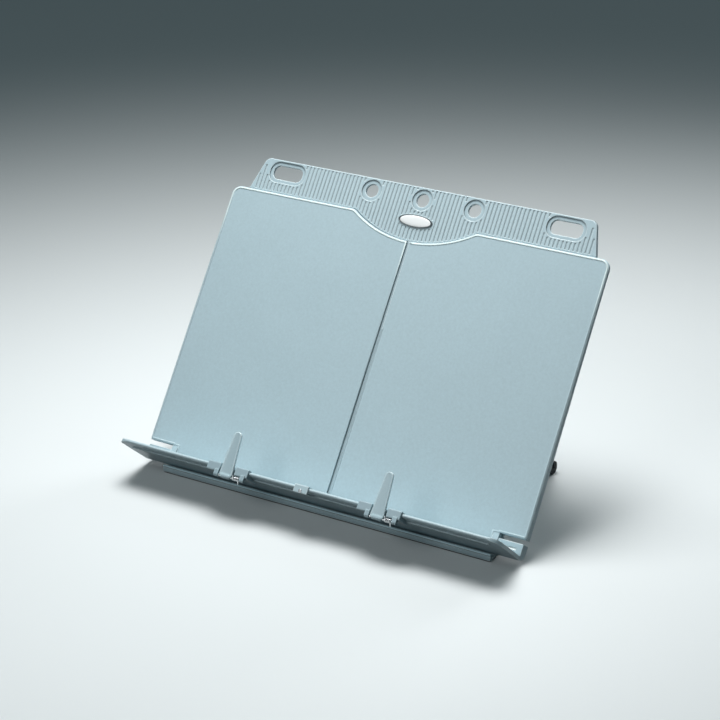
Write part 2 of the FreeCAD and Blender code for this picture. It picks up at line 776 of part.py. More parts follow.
def ledge():
    """Ledge plate with a rounded front edge, a quarter-round heel and a knuckle at each end."""
    body = new_body("ledge")
    base, face, depth = d.ledge_base, d.ledge_face, d.ledge_depth
    nose = d.ledge_wall / 2
    profile = path(
        (0.0, base), ((d.heel_radius * math.sin(math.pi / 4), -d.heel_radius * math.cos(math.pi / 4)),
                      (d.heel_radius, 0.0)),
        (d.heel_inner, 0.0),
        ((d.heel_inner * math.sin(math.pi / 4), -d.heel_inner * math.cos(math.pi / 4)),
         (0.0, face)),
        (-depth + nose, face), ((-depth, base + nose), (-depth + nose, base)),
    )
    pad(body, "YZ_Plane", "-dims.ledge_half", "2 * dims.ledge_half", profile)
    guide = box_loop(-depth + d.guide_inset, -depth + d.guide_inset + d.guide_width,
                     base - d.guide_height, base + nose)
    pad(body, "YZ_Plane", "dims.ledge_corner - dims.ledge_half",
        "2 * (dims.ledge_half - dims.ledge_corner)", guide)
    barrel = knuckle()
    length = "dims.ledge_half - dims.panel_width / 2 + dims.notch_width - dims.part_gap"
    pad(body, "YZ_Plane", "dims.panel_width / 2 - dims.notch_width + dims.part_gap", length, barrel)
    pad(body, "YZ_Plane", "-dims.ledge_half", length, barrel)
    bore = circle(0, 0, d.pin_radius + d.running_gap)
    reach = "dims.pin_length - dims.lug_width + dims.part_gap"
    start = "dims.panel_width / 2 - dims.notch_width"
    pocket(body, "YZ_Plane", start, reach, bore)
    pocket(body, "YZ_Plane", f"-({start}) - ({reach})", reach, bore)
    half, corner = d.ledge_half, d.ledge_corner
    for side in (-1, 1):
        tip = path(
            (side * half, -depth + corner),
            (polar(side * (half - corner), -depth + corner, corner, -90 + side * 45),
             (side * (half - corner), -depth)),
            (side * (half - corner), -depth - 1), (side * (half + 1), -depth - 1),
            (side * (half + 1), -depth + corner),
        )
        pocket(body, "XY_Plane", "-dims.heel_radius - 2", "dims.ledge_wall + 4", tip)
    body.Placement = ledge_frame()


def ledge_pins():
    """Steel hinge pins, held in the board's lugs and running in the ledge's barrels."""
    for side in (-1, 1):
        inner = d.notch_half - d.lug_width
        start = inner if side > 0 else -inner - d.pin_length
        rod(f"ledge_pin_{side_name(side)}", "dims.pin_radius", "dims.pin_length",
            Vector(start, 0, 0), ledge_frame())


def centre_tab():
    """Tab clipped over the middle of the front edge, and its rivet."""
    body = new_body("centre_tab")
    depth, base, face = d.ledge_depth, d.ledge_base, d.ledge_face
    wall = d.tab_wall
    lip_top = face + d.clip_lip_wall
    rivet_z = base - d.rivet_drop
    profile = loop(
        (-depth, face), (-depth + d.tab_lip, face), (-depth + d.tab_lip, lip_top),
        (-depth - wall, lip_top, 0.5), (-depth - wall, base - d.tab_drop, 0.5),
        (-depth, base - d.tab_drop),
    )
    pad(body, "YZ_Plane", "dims.tab_offset - dims.tab_width / 2", "dims.tab_width", profile)
    hole = circle(d.tab_offset, rivet_z, d.rivet_radius)
    pocket(body, "XZ_Plane", "dims.ledge_depth", "dims.tab_wall", hole)
    body.Placement = ledge_frame()
    outward = Vector(0, -1, 0)
    shank = Part.makeCylinder(d.rivet_radius, wall, Vector(d.tab_offset, -depth, rivet_z), outward)
    under_head = -depth - wall
    head = Part.makeCylinder(d.rivet_head_radius, d.rivet_head_height,
                             Vector(d.tab_offset, under_head, rivet_z), outward)
    rim = [e for e in head.Edges if e.CenterOfMass.y < under_head - 0.1
           and e.Curve.TypeId == "Part::GeomCircle"]
    head = head.makeFillet(d.rivet_head_height / 2, rim)
    shape_part("tab_rivet", shank.fuse(head), ledge_frame())


# ---- page clips ----------------------------------------------------------------------------


def clip_place(side):
    """Where a clip stands along the ledge, from the middle of the board."""
    return d.clip_right if side > 0 else -d.clip_left


def clip_carriage(side):
    """Slider that wraps the ledge's front edge, with a block each side of the finger."""
    body = new_body(f"clip_carriage_{side_name(side)}")
    gap = d.part_gap
    front = -(d.ledge_depth + gap + d.clip_wall)
    inner_front = -(d.ledge_depth + gap)
    face = d.ledge_face + gap
    base = d.ledge_base - gap
    guide_y = -d.ledge_depth + d.guide_inset
    jaw_base = base - d.guide_height - d.clip_jaw
    lip_top = face + d.clip_lip_wall
    block = loop(
        (front, lip_top, d.clip_toe_edge), (inner_front + d.clip_lip, lip_top),
        (inner_front + d.clip_lip, face), (inner_front, face), (inner_front, base),
        (guide_y - gap, base), (guide_y - gap, base - d.guide_height),
        (guide_y + d.guide_width + gap, base - d.guide_height),
        (guide_y + d.guide_width + gap, base), (inner_front + d.clip_reach, base),
        (inner_front + d.clip_reach, jaw_base, d.clip_toe_edge), (inner_front, jaw_base),
        (inner_front, -d.clip_foot), (front, -d.clip_foot, d.clip_toe_edge),
    )
    width = "dims.clip_half - dims.clip_gap_half"
    pad(body, "YZ_Plane", "-dims.clip_half", width, block)
    pad(body, "YZ_Plane", "dims.clip_gap_half", width, block)
    fillet(body, "dims.clip_edge",
           lambda e: along(e, Vector(0, 0, 1)) and e.CenterOfMass.y < front + 1e-4)
    axis = (d.finger_axis_y, -d.finger_axis_drop)
    web = box_loop(axis[0] + d.finger_barrel + d.clip_web_gap, inner_front + d.clip_reach,
                   jaw_base, base - d.guide_height)
    pad(body, "YZ_Plane", "-dims.clip_gap_half", "2 * dims.clip_gap_half", web)
    ear_top = -d.clip_foot + d.clip_wall
    ear = path(
        (axis[0] - d.clip_ear, axis[1]),
        ((axis[0], axis[1] - d.clip_ear), (axis[0] + d.clip_ear, axis[1])),
        (axis[0] + d.clip_ear, ear_top), (axis[0] - d.clip_ear, ear_top),
    )
    pad(body, "YZ_Plane", "-dims.clip_gap_half - dims.clip_ear_width", "dims.clip_ear_width", ear)
    pad(body, "YZ_Plane", "dims.clip_gap_half + dims.spring_room", "dims.clip_ear_width", ear)
    pocket(body, "YZ_Plane", "-dims.clip_half", "2 * dims.clip_half",
           circle(*axis, d.finger_pin_radius))
    body.Placement = ledge_frame(clip_place(side))


def finger_frame(side):
    """Frame on the finger's hinge, with z up the finger, which stands parallel to the board."""
    base = ledge_frame(clip_place(side))
    local = turned(Vector(0, d.finger_axis_y, -d.finger_axis_drop), d.ledge_tilt)
    return base.multiply(local)


def page_finger(side):
    """Tapered upright blade with a rounded tip and a hinge barrel at its foot."""
    body = new_body(f"page_finger_{side_name(side)}")
    half, tip = d.finger_width / 2, d.finger_tip_width / 2
    top, radius = d.finger_length, d.finger_barrel
    back = d.finger_wall - radius
    meet = math.degrees(math.acos(back / radius))
    side_view = path(
        (-radius, 0.0), (-radius, top), (back, top), polar(0, 0, radius, meet),
        (polar(0, 0, radius, (meet - 180) / 2), (-radius, 0.0)),
    )
    pad(body, "YZ_Plane", "-dims.finger_width / 2", "dims.finger_width", side_view)
    for turn in (-1, 1):
        waste = path(
            (turn * half, radius), (turn * tip, top - tip),
            (polar(0, top - tip, tip, 90 - turn * 45), (0.0, top)),
            (0.0, top + 1), (turn * (half + 1), top + 1), (turn * (half + 1), radius),
        )
        pocket(body, "XZ_Plane", "-dims.finger_barrel - 1", "2 * dims.finger_barrel + 2", waste)
    fillet(body, "dims.finger_edge", lambda e: e.CenterOfMass.z > radius
           and all(v.Y < 1e-4 - radius for v in e.Vertexes))
    pocket(body, "YZ_Plane", "-dims.finger_width", "2 * dims.finger_width",
           circle(0, 0, d.finger_pin_radius + d.running_gap))
    body.Placement = finger_frame(side)


def finger_pin(side):
    """Steel pin through both ears of the carriage and the finger's barrel."""
    start = -d.clip_gap_half - d.clip_ear_width
    rod(f"finger_pin_{side_name(side)}", "dims.finger_pin_radius",
        "2 * dims.clip_gap_half + 2 * dims.clip_ear_width + dims.spring_room",
        Vector(start, 0, 0), finger_frame(side))


def finger_spring(side):
    """Torsion spring on the finger's pin: a coil under the right-hand block and a bent leg."""
    wire, radius = d.spring_wire, d.spring_radius
    pitch = 2 * wire + d.spring_lead
    length = pitch * d.spring_turns
    helix = Part.makeHelix(pitch, length, radius)
    section = Part.Wire(Part.makeCircle(wire, Vector(radius, 0, 0), Vector(0, 1, 0)))
    coil = Part.Wire(helix).makePipeShell([section], True, True)
    end = Vector(radius, 0, length)
    leg = Part.makeCylinder(wire, d.spring_leg, end, Vector(0, 1, 0))
    turn = FreeCAD.Placement(Vector(d.clip_gap_half + d.spring_inset, 0, 0),
                             FreeCAD.Rotation(Vector(0, 1, 0), 90))
    shape_part(f"finger_spring_{side_name(side)}", coil.fuse(leg), finger_frame(side).multiply(turn))


# ---- easel leg -----------------------------------------------------------------------------


def stand_leg():
    """Easel leg: two arms joined by bars, a hinge hub at the head of each and a toe tenon below."""
    body = new_body("stand_leg")
    half, arm = d.leg_half, d.leg_arm_width
    length = leg_length()
    wall = d.leg_wall / 2
    foot = -length + d.toe_socket
    inner = half - arm
    low, high = foot + d.leg_bar_rise, -d.leg_bar
    outline = loop(
        (-half, foot), (-inner, foot), (-inner, low, d.leg_corner), (inner, low, d.leg_corner),
        (inner, foot), (half, foot), (half, 0), (inner, 0), (inner, high, d.leg_corner),
        (-inner, high, d.leg_corner), (-inner, 0), (-half, 0),
    )
    side = inner - d.leg_window_inset
    window = box_loop(-side, side, low + d.leg_bar, high - d.leg_bar, d.leg_window_corner)
    pad(body, "XZ_Plane", "-dims.leg_wall / 2", "dims.leg_wall", outline, window)
    hub = circle(0, 0, d.leg_hub)
    pad(body, "YZ_Plane", "-dims.leg_half", "dims.leg_arm_width", hub)
    pad(body, "YZ_Plane", "dims.leg_half - dims.leg_arm_width", "dims.leg_arm_width", hub)
    pocket(body, "YZ_Plane", "-dims.leg_half - 1", "2 * dims.leg_half + 2",
           circle(0, 0, d.leg_pin_radius + d.running_gap))
    inset, thick = d.leg_rib_inset, d.leg_rib
    top_end = -2 * d.leg_hub
    ribs = [box_loop(-inner, inner, z, z + thick) for z in (
        low + inset, low + d.leg_bar - inset - thick,
        high - d.leg_bar + inset, high - inset - thick)]
    for x in (half - inset - thick, inner + inset):
        ribs += [box_loop(x, x + thick, foot, top_end), box_loop(-x - thick, -x, foot, top_end)]
    for rib in ribs:
        pad(body, "XZ_Plane", "-dims.leg_wall / 2 - dims.leg_rib_height", "dims.leg_rib_height",
            rib)
    tenon = box_loop(-wall + d.toe_wall, wall - d.toe_wall,
                     foot - d.toe_socket + d.tenon_gap, foot)
    for side in (-1, 1):
        start = f"{side} * (dims.leg_half - dims.leg_arm_width / 2) - dims.leg_arm_width / 2"
        pad(body, "YZ_Plane", f"{start} + dims.toe_wall",
            "dims.leg_arm_width - 2 * dims.toe_wall", tenon)
    body.Placement = leg_frame()


def leg_toe(side):
    """Rubber toe that curls up behind, socketed on the tenon of the leg's arm."""
    body = new_body(f"leg_toe_{side_name(side)}")
    wall = d.leg_wall / 2
    length = leg_length()
    centre = ((d.toe_inner + d.toe_outer) / 2, -length)
    tip = d.toe_tip
    profile = path(
        (-wall, -length + d.toe_socket), (-wall, -length),
        (polar(*centre, d.toe_outer, 180 + (180 + tip) / 2), polar(*centre, d.toe_outer, tip)),
        (polar(*polar(*centre, (d.toe_outer + d.toe_inner) / 2, tip), d.leg_wall / 2, tip + 90),
         polar(*centre, d.toe_inner, tip)),
        (polar(*centre, d.toe_inner, 180 + (180 + tip) / 2), (wall, -length)),
        (wall, -length + d.toe_socket),
    )
    start = f"{side} * (dims.leg_half - dims.leg_arm_width / 2) - dims.leg_arm_width / 2"
    pad(body, "YZ_Plane", start, "dims.leg_arm_width", profile)
    socket = box_loop(-wall + d.toe_wall, wall - d.toe_wall, -length + d.tenon_gap,
                      -length + d.toe_socket)
    pocket(body, "YZ_Plane", f"{start} + dims.toe_wall",
           "dims.leg_arm_width - 2 * dims.toe_wall", socket)
    body.Placement = leg_frame()


def bracket_ears(side):
    """Inner and outer ear of a leg bracket, as (x start, x end) pairs from the board's middle."""
    gap = d.ear_gap
    arm_in, arm_out = d.leg_half - d.leg_arm_width, d.leg_half
    spans = [(arm_in - gap - d.ear_wall, arm_in - gap), (arm_out + gap, arm_out + gap + d.ear_wall)]
    return spans if side > 0 else [(-b, -a) for a, b in spans]


def bracket_screw_points(side):
    """Two screws in each bracket, above and below the leg's hub."""
    x = side * d.hub_half
    reach = d.bracket_margin - d.screw_head_radius - d.screw_skin
    return [(x, d.leg_pivot_rise + reach), (x, d.leg_pivot_rise - reach)]


def leg_bracket(side):
    """Hinge bracket on the back shell: a base plate with two ears for the leg's pin."""
    body = new_body(f"leg_bracket_{side_name(side)}")
    (a0, a1), (b0, b1) = sorted(bracket_ears(side))
    rise, back = d.leg_pivot_rise, -d.shell_back
    reach = d.bracket_margin
    plate = box_loop(a0, b1, rise - reach, rise + reach, d.bracket_corner)
    pad(body, "XY_Plane", "-dims.panel_wall - dims.shell_cavity - dims.shell_wall"
        " - dims.bracket_wall", "dims.bracket_wall", plate)
    axis = -d.leg_pivot_setback
    radius = d.leg_hub
    root = back - d.bracket_wall / 4
    ear = path(
        (rise - radius - d.ear_flare, root), (rise - radius, axis),
        ((rise, axis - radius), (rise + radius, axis)), (rise + radius + d.ear_flare, root),
    )
    for start, end in ((a0, a1), (b0, b1)):
        pad(body, "YZ_Plane", str(start), "dims.ear_wall", ear)
    pocket(body, "YZ_Plane", str(a0 - 1), str(b1 - a0 + 2), circle(rise, axis, d.leg_pin_radius))
    holes = [circle(x, y, d.screw_radius) for x, y in bracket_screw_points(side)]
    pocket(body, "XY_Plane", "-dims.panel_wall - dims.shell_cavity - dims.shell_wall"
           " - dims.bracket_wall", "dims.bracket_wall", *holes)
    body.Placement = board_frame()


def leg_pin(side):
    """Steel pin through both ears and the hub, and the two friction washers on it."""
    (a0, a1), (b0, b1) = sorted(bracket_ears(side))
    name = side_name(side)
    rod(f"leg_pin_{name}", "dims.leg_pin_radius", str(b1 - a0), Vector(a0, 0, 0), leg_frame())
    washers = []
    for start in (a1, b0 - d.washer_wall):
        ring = Part.makeCylinder(d.leg_hub - 0.4, d.washer_wall, Vector(start, 0, 0),
                                 Vector(1, 0, 0))
        hole = Part.makeCylinder(d.leg_pin_radius, d.washer_wall, Vector(start, 0, 0),
                                 Vector(1, 0, 0))
        washers.append(ring.cut(hole))
    shape_part(f"leg_washers_{name}", Part.makeCompound(washers), leg_frame())


# ---- whole holder --------------------------------------------------------------------------


def build():
    front_panel()
    binder_header()
    badge()
    back_shell()
    screws()
    foot_rail()
    rubber_strip()
    ledge()
    ledge_pins()
    centre_tab()
    for side in (-1, 1):
        clip_carriage(side)
        page_finger(side)
        finger_pin(side)
        finger_spring(side)
    stand_leg()
    for side in (-1, 1):
        leg_toe(side)
        leg_bracket(side)
        leg_pin(side)


def check():
    """Stop if any object failed or any sub-part has a null or invalid shape."""
    for item in doc.Objects:
        if "Invalid" in item.State or "Error" in item.State:
            raise RuntimeError(f"{item.Label} failed: {item.State}")
    for item in parts:
        if item.Shape.isNull() or not item.Shape.isValid():
            raise RuntimeError(f"{item.Label} has a bad shape")


def export():
    os.makedirs("parts", exist_ok=True)
    for item in parts:
        item.Shape.exportStep(f"parts/{item.Label}.step")
        box = item.Shape.BoundBox
        print(f"{item.Label}: {len(item.Shape.Solids)} solid(s), {item.Shape.Volume:.0f} mm3, "
              f"{box.XLength:.1f} x {box.YLength:.1f} x {box.ZLength:.1f}")


fill_sheet()
d = read_sheet()
build()
doc.recompute()
check()
export()
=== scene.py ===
"""Studio scene of a tilting document holder: its finishes, its small hardware and the light."""
import json
import logging
import math
from dataclasses import dataclass
from enum import Enum
from typing import Callable, Sequence

import bpy
from mathutils import Matrix, Vector


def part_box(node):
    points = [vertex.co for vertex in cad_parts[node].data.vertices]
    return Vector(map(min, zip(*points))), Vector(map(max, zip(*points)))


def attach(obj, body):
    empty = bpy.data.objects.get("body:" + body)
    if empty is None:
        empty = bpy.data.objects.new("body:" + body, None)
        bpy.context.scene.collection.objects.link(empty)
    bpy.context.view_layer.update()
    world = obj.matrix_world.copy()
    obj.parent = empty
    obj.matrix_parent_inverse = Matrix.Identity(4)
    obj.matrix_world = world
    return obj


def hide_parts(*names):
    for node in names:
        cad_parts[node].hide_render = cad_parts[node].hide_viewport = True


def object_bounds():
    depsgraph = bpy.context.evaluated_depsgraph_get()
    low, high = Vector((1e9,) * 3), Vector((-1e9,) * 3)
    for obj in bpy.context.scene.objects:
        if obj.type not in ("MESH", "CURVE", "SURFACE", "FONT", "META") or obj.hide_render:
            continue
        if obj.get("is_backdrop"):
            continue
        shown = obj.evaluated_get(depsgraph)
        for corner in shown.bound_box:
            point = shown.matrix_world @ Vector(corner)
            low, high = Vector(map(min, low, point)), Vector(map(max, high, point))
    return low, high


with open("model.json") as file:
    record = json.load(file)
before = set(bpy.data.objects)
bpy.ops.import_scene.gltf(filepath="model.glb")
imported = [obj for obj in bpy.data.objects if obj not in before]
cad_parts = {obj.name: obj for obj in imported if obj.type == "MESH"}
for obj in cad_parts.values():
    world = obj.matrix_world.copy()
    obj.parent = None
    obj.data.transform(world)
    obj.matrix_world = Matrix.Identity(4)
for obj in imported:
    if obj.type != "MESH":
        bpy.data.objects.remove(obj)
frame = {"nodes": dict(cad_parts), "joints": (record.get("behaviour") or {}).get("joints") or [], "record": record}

log = logging.getLogger("document_holder")
MM = 0.001

# Cosines that pick a face or an edge by the way it points.
FLAT = 0.999
SQUARE = 0.9
FACING = 0.5


class Finish(Enum):
    """The record's material slots."""

    BOARD = "platinum_plastic"
    CLIP = "clip_plastic"
    BADGE = "badge"
    RUBBER = "rubber"
    STEEL = "steel"


class LookOverride(Enum):
    """Looks in place of a slot's own finish: painted highlights on bead, blades and rail lip; dulled steel pins.
    """

    BEAD = "painted_highlight_bead"
    BLADE = "painted_highlight_blade"
    RIM = "painted_highlight_rim"
    LIP = "painted_highlight_lip"
    PIN = "dulled_pin"


# ---- shader maths --------------------------------------------------------------------------


class Signal:
    """A number that varies over a surface, and that takes part in Python arithmetic."""

    def __init__(self, sheet: "ShaderSheet", socket: bpy.types.NodeSocket) -> None:
        """Wrap a socket of a sheet."""
        self.sheet = sheet
        self.socket = socket

    def _maths(self, operation: str, first: object, second: object) -> "Signal":
        """Add a Math node.

        Args:
            operation: what the node works out.
            first: a Signal or a number.
            second: a Signal or a number.

        Returns:
            The node's result.
        """
        return self.sheet.node("ShaderNodeMath", {"operation": operation}, [first, second])

    def __add__(self, other: object) -> "Signal":
        """Sum."""
        return self._maths("ADD", self, other)

    def __radd__(self, other: object) -> "Signal":
        """Sum with a number on the left."""
        return self._maths("ADD", other, self)

    def __sub__(self, other: object) -> "Signal":
        """Difference."""
        return self._maths("SUBTRACT", self, other)

    def __rsub__(self, other: object) -> "Signal":
        """Difference from a number on the left."""
        return self._maths("SUBTRACT", other, self)

    def __mul__(self, other: object) -> "Signal":
        """Product."""
        return self._maths("MULTIPLY", self, other)

    def __rmul__(self, other: object) -> "Signal":
        """Product with a number on the left."""
        return self._maths("MULTIPLY", other, self)

    def above(self, limit: float) -> "Signal":
        """1 where this value is over a limit, and 0 elsewhere."""
        return self._maths("GREATER_THAN", self, limit)

    def clipped(self) -> "Signal":
        """This value held between 0 and 1."""
        return self._maths("MAXIMUM", self._maths("MINIMUM", self, 1.0), 0.0)


class ShaderSheet:
    """A material and the nodes that make it."""

    SAMPLES = 4
    EDGE_GAIN = 6

    def __init__(self, name: str) -> None:
        """Start a material with a Principled shader and Object coordinates."""
        self.material = bpy.data.materials.new(name)
        self.material.use_nodes = True
        tree = self.material.node_tree
        tree.nodes.clear()
        self.tree = tree
        self.shader = tree.nodes.new("ShaderNodeBsdfPrincipled")
        output = tree.nodes.new("ShaderNodeOutputMaterial")
        tree.links.new(self.shader.outputs["BSDF"], output.inputs["Surface"])
        self.place = tree.nodes.new("ShaderNodeTexCoord").outputs["Object"]

    def node(self, kind: str, settings: dict, inputs: object, output: object = 0) -> Signal:
        """Add a node.

        Args:
            kind: the node's type.
            settings: properties of the node, set before its sockets.
            inputs: values or links of its sockets, as a list in order or a dict by name.
            output: name or number of the output wanted.

        Returns:
            The output, as a Signal.
        """
        node = self.tree.nodes.new(kind)
        for name, value in settings.items():
            setattr(node, name, value)
        pairs = inputs.items() if isinstance(inputs, dict) else enumerate(inputs)
        for key, value in pairs:
            self.feed(node.inputs[key], value)
        return Signal(self, node.outputs[output])

    def feed(self, socket: bpy.types.NodeSocket, value: object) -> None:
        """Give a socket a value or a link."""
        if isinstance(value, Signal):
            self.tree.links.new(value.socket, socket)
        elif isinstance(value, bpy.types.NodeSocket):
            self.tree.links.new(value, socket)
        else:
            socket.default_value = value

    def noise(self, size: float, detail: float = 2.0,
              squash: Sequence[float] = (1, 1, 1)) -> Signal:
        """Add a noise pattern.

        Args:
            size: size of its grain in metres.
            detail: how many finer layers it has.
            squash: how much the pattern is pressed along X, Y and Z.

        Returns:
            A value about 0.5, from 0 to 1.
        """
        place = self.node("ShaderNodeMapping", {"vector_type": "POINT"},
                          {"Vector": self.place, "Scale": tuple(squash)}, "Vector")
        return self.node("ShaderNodeTexNoise", {"noise_dimensions": "3D"},
                         {"Vector": place, "Scale": 1 / size, "Detail": detail}, "Fac")

    def blend(self, amount: Signal, low: object, high: object) -> Signal:
        """Mix two colours.

        Args:
            amount: 0 for the low colour, 1 for the high one.
            low: colour at 0, as three numbers or a Signal.
            high: colour at 1, as three numbers or a Signal.

        Returns:
            The mixed colour.
        """
        ends = [end if isinstance(end, Signal) else (*end, 1) for end in (low, high)]
        return self.node("ShaderNodeMix", {"data_type": "RGBA"},
                         {0: amount, 6: ends[0], 7: ends[1]}, 2)

    def bump(self, height: Signal, depth: float, over: Signal) -> Signal:
        """Turn a height into a normal.

        Args:
            height: the height, from 0 to 1.
            depth: what a height of 1 measures in metres.
            over: the normal that it is laid over.

        Returns:
            The normal.
        """
        return self.node("ShaderNodeBump", {}, {"Strength": 1.0, "Distance": depth,
                                                "Height": height, "Normal": over}, "Normal")

    def rounded(self, radius: float) -> tuple[Signal, Signal]:
        """Round sharp edges in the shading.

        Args:
            radius: how far the rounding reaches, in metres.

        Returns:
            The rounded normal, and 1 along edges and 0 on flat faces.
        """
        soft = self.node("ShaderNodeBevel", {"samples": self.SAMPLES}, {"Radius": radius}, "Normal")
        own = self.node("ShaderNodeNewGeometry", {}, {}, "Normal")
        facing = self.node("ShaderNodeVectorMath", {"operation": "DOT_PRODUCT"}, [soft, own],
                           "Value")
        return soft, ((1 - facing) * self.EDGE_GAIN).clipped()

    def openness(self, reach: float) -> Signal:
        """1 on open faces, less in grooves and inner corners narrower than a reach in metres."""
        return self.node("ShaderNodeAmbientOcclusion",
                         {"samples": self.SAMPLES, "only_local": True}, {"Distance": reach}, "AO")

    def coordinates(self, where: Matrix) -> list[Signal]:
        """X, Y and Z of the surface in a frame given by its matrix."""
        seen = self.node("ShaderNodeMapping", {"vector_type": "TEXTURE"},
                         {"Vector": self.place, "Location": where.translation,
                          "Rotation": where.to_euler()}, "Vector")
        return [self.node("ShaderNodeSeparateXYZ", {}, {"Vector": seen}, axis) for axis in "XYZ"]

    def dress(self, **sockets: object) -> bpy.types.Material:
        """Set the shader's sockets, named with underscores for spaces; return the material."""
        for name, value in sockets.items():
            self.feed(self.shader.inputs[name.replace("_", " ")], value)
        return self.material


def shaded(colour: Sequence[float], factor: float) -> tuple[float, ...]:
    """A colour made lighter or darker by a factor."""
    return tuple(min(1.0, c * factor) for c in colour)


@dataclass(frozen=True)
class MouldedPlastic:
    """Opaque moulded plastic, spark-eroded grain: glossier edges with painted highlights, painted shade in
    grooves.
    """

    name: str
    colour: tuple[float, float, float]
    grain: float = 0.55 * MM
    grain_depth: float = 0.025 * MM
    pebble: float = 1.9 * MM
    patch: float = 38 * MM
    mottle: float = 0.07
    grain_tone: float = 1.1
    pebble_tone: float = 1.2
    patch_tone: float = 0.4
    roughness: float = 0.46
    patch_gloss: float = 0.10
    grain_gloss: float = 0.12
    edge_gloss: float = 0.12
    edge: float = 1.0 * MM
    # Factor of the lighter colour painted along edges as a highlight.
    edge_painted_highlight: float = 2.1
    edge_open: float = 0.9
    # Reach, darkness and strength of the painted shade in grooves and inner corners.
    crevice: float = 2.2 * MM
    crevice_painted_shade: float = 0.55
    crevice_gain: float = 1.6
    # Height in object coordinates above which a painted highlight lightens the colour, its fade and its factor.
    painted_highlight_over: float | None = None
    painted_highlight_fade: float = 0.05 * MM
    painted_highlight_gain: float = 2.1

    def make(self) -> bpy.types.Material:
        """Build the material."""
        sheet = ShaderSheet(self.name)
        grain = sheet.noise(self.grain, 3)
        pebble = sheet.noise(self.pebble, 2)
        patch = sheet.noise(self.patch, 2)
        soft, edge = sheet.rounded(self.edge)
        open_face = sheet.openness(self.crevice)
        tone = ((grain - 0.5) * self.grain_tone + (pebble - 0.5) * self.pebble_tone
                + (patch - 0.5) * self.patch_tone + 0.5)
        low, high = shaded(self.colour, 1 - self.mottle), shaded(self.colour, 1 + self.mottle)
        face = sheet.blend(tone.clipped(), low, high)
        # Painted highlight: edges on open faces blend towards a lighter copy of the colour.
        colour = sheet.blend(edge * open_face.above(self.edge_open), face,
                             shaded(self.colour, self.edge_painted_highlight))
        # Painted shade: grooves and inner corners, found by ambient occlusion, blend towards a darker copy of the
        # colour.
        colour = sheet.blend(((1 - open_face) * self.crevice_gain).clipped(), colour,
                             shaded(self.colour, self.crevice_painted_shade))
        # Painted highlight: above the given height the colour fades to a lighter copy, as where light falls on the
        # top.
        if self.painted_highlight_over is not None:
            height = sheet.coordinates(Matrix())[2]
            rise = (height - self.painted_highlight_over) * (1 / self.painted_highlight_fade)
            colour = sheet.blend(rise.clipped(), colour, shaded(self.colour, self.painted_highlight_gain))
        return sheet.dress(
            Base_Color=colour,
            Roughness=((patch - 0.5) * self.patch_gloss + (grain - 0.5) * self.grain_gloss
                       - edge * self.edge_gloss + self.roughness),
            Normal=sheet.bump(grain, self.grain_depth, soft),
            Specular_IOR_Level=0.5,
        )


@dataclass(frozen=True)
class WornRubber:
    """Matt dark rubber with a chalky bloom."""

    name: str
    colour: tuple[float, float, float]
    roughness: float = 0.78
    edge: float = 0.5 * MM
    bloom: float = 6 * MM
    bloom_start: float = 0.4
    bloom_gain: float = 1.5
    bloom_shine: float = 1.9
    edge_lightening: float = 0.6
    bloom_gloss: float = 0.2
    pore: float = 0.3 * MM
    pore_depth: float = 0.03 * MM

    def make(self) -> bpy.types.Material:
        """Build the material."""
        sheet = ShaderSheet(self.name)
        bloom = sheet.noise(self.bloom, 4)
        pores = sheet.noise(self.pore, 2)
        soft, edge = sheet.rounded(self.edge)
        tone = (bloom - self.bloom_start).clipped() * self.bloom_gain
        return sheet.dress(
            # Lighter where the bloom noise is high, and lighter along the edges too.
            Base_Color=sheet.blend((tone + edge * self.edge_lightening).clipped(), self.colour,
                                   shaded(self.colour, self.bloom_shine)),
            Roughness=(bloom - 0.5) * self.bloom_gloss + self.roughness,
            Normal=sheet.bump(pores, self.pore_depth, soft),
            Specular_IOR_Level=0.35,
        )


@dataclass(frozen=True)
class DrawnSteel:
    """Zinc-plated steel with marks of drawing along X, and painted shade in its recesses."""

    name: str
    colour: tuple[float, float, float]
    roughness: float = 0.26
    edge: float = 0.15 * MM
    streak: float = 0.12 * MM
    streak_squash: float = 0.05
    streak_depth: float = 0.006 * MM
    streak_gloss: float = 0.14
    haze: float = 3 * MM
    haze_shade: float = 0.86
    haze_gloss: float = 0.10
    crevice: float = 1.2 * MM
    crevice_gain: float = 1.5
    crevice_painted_shade: float = 0.35

    def make(self) -> bpy.types.Material:
        """Build the material."""
        sheet = ShaderSheet(self.name)
        streak = sheet.noise(self.streak, 2, (self.streak_squash, 1, 1))
        haze = sheet.noise(self.haze, 2)
        soft, _ = sheet.rounded(self.edge)
        open_face = sheet.openness(self.crevice)
        plating = sheet.blend(haze, shaded(self.colour, self.haze_shade), self.colour)
        return sheet.dress(
            # Painted shade: recesses and inner corners blend towards a darker copy of the plating.
            Base_Color=sheet.blend(((1 - open_face) * self.crevice_gain).clipped(), plating,
                                   shaded(self.colour, self.crevice_painted_shade)),
            Roughness=((streak - 0.5) * self.streak_gloss + (haze - 0.5) * self.haze_gloss
                       + self.roughness),
            Normal=sheet.bump(streak, self.streak_depth, soft),
            Metallic=1.0,
        )


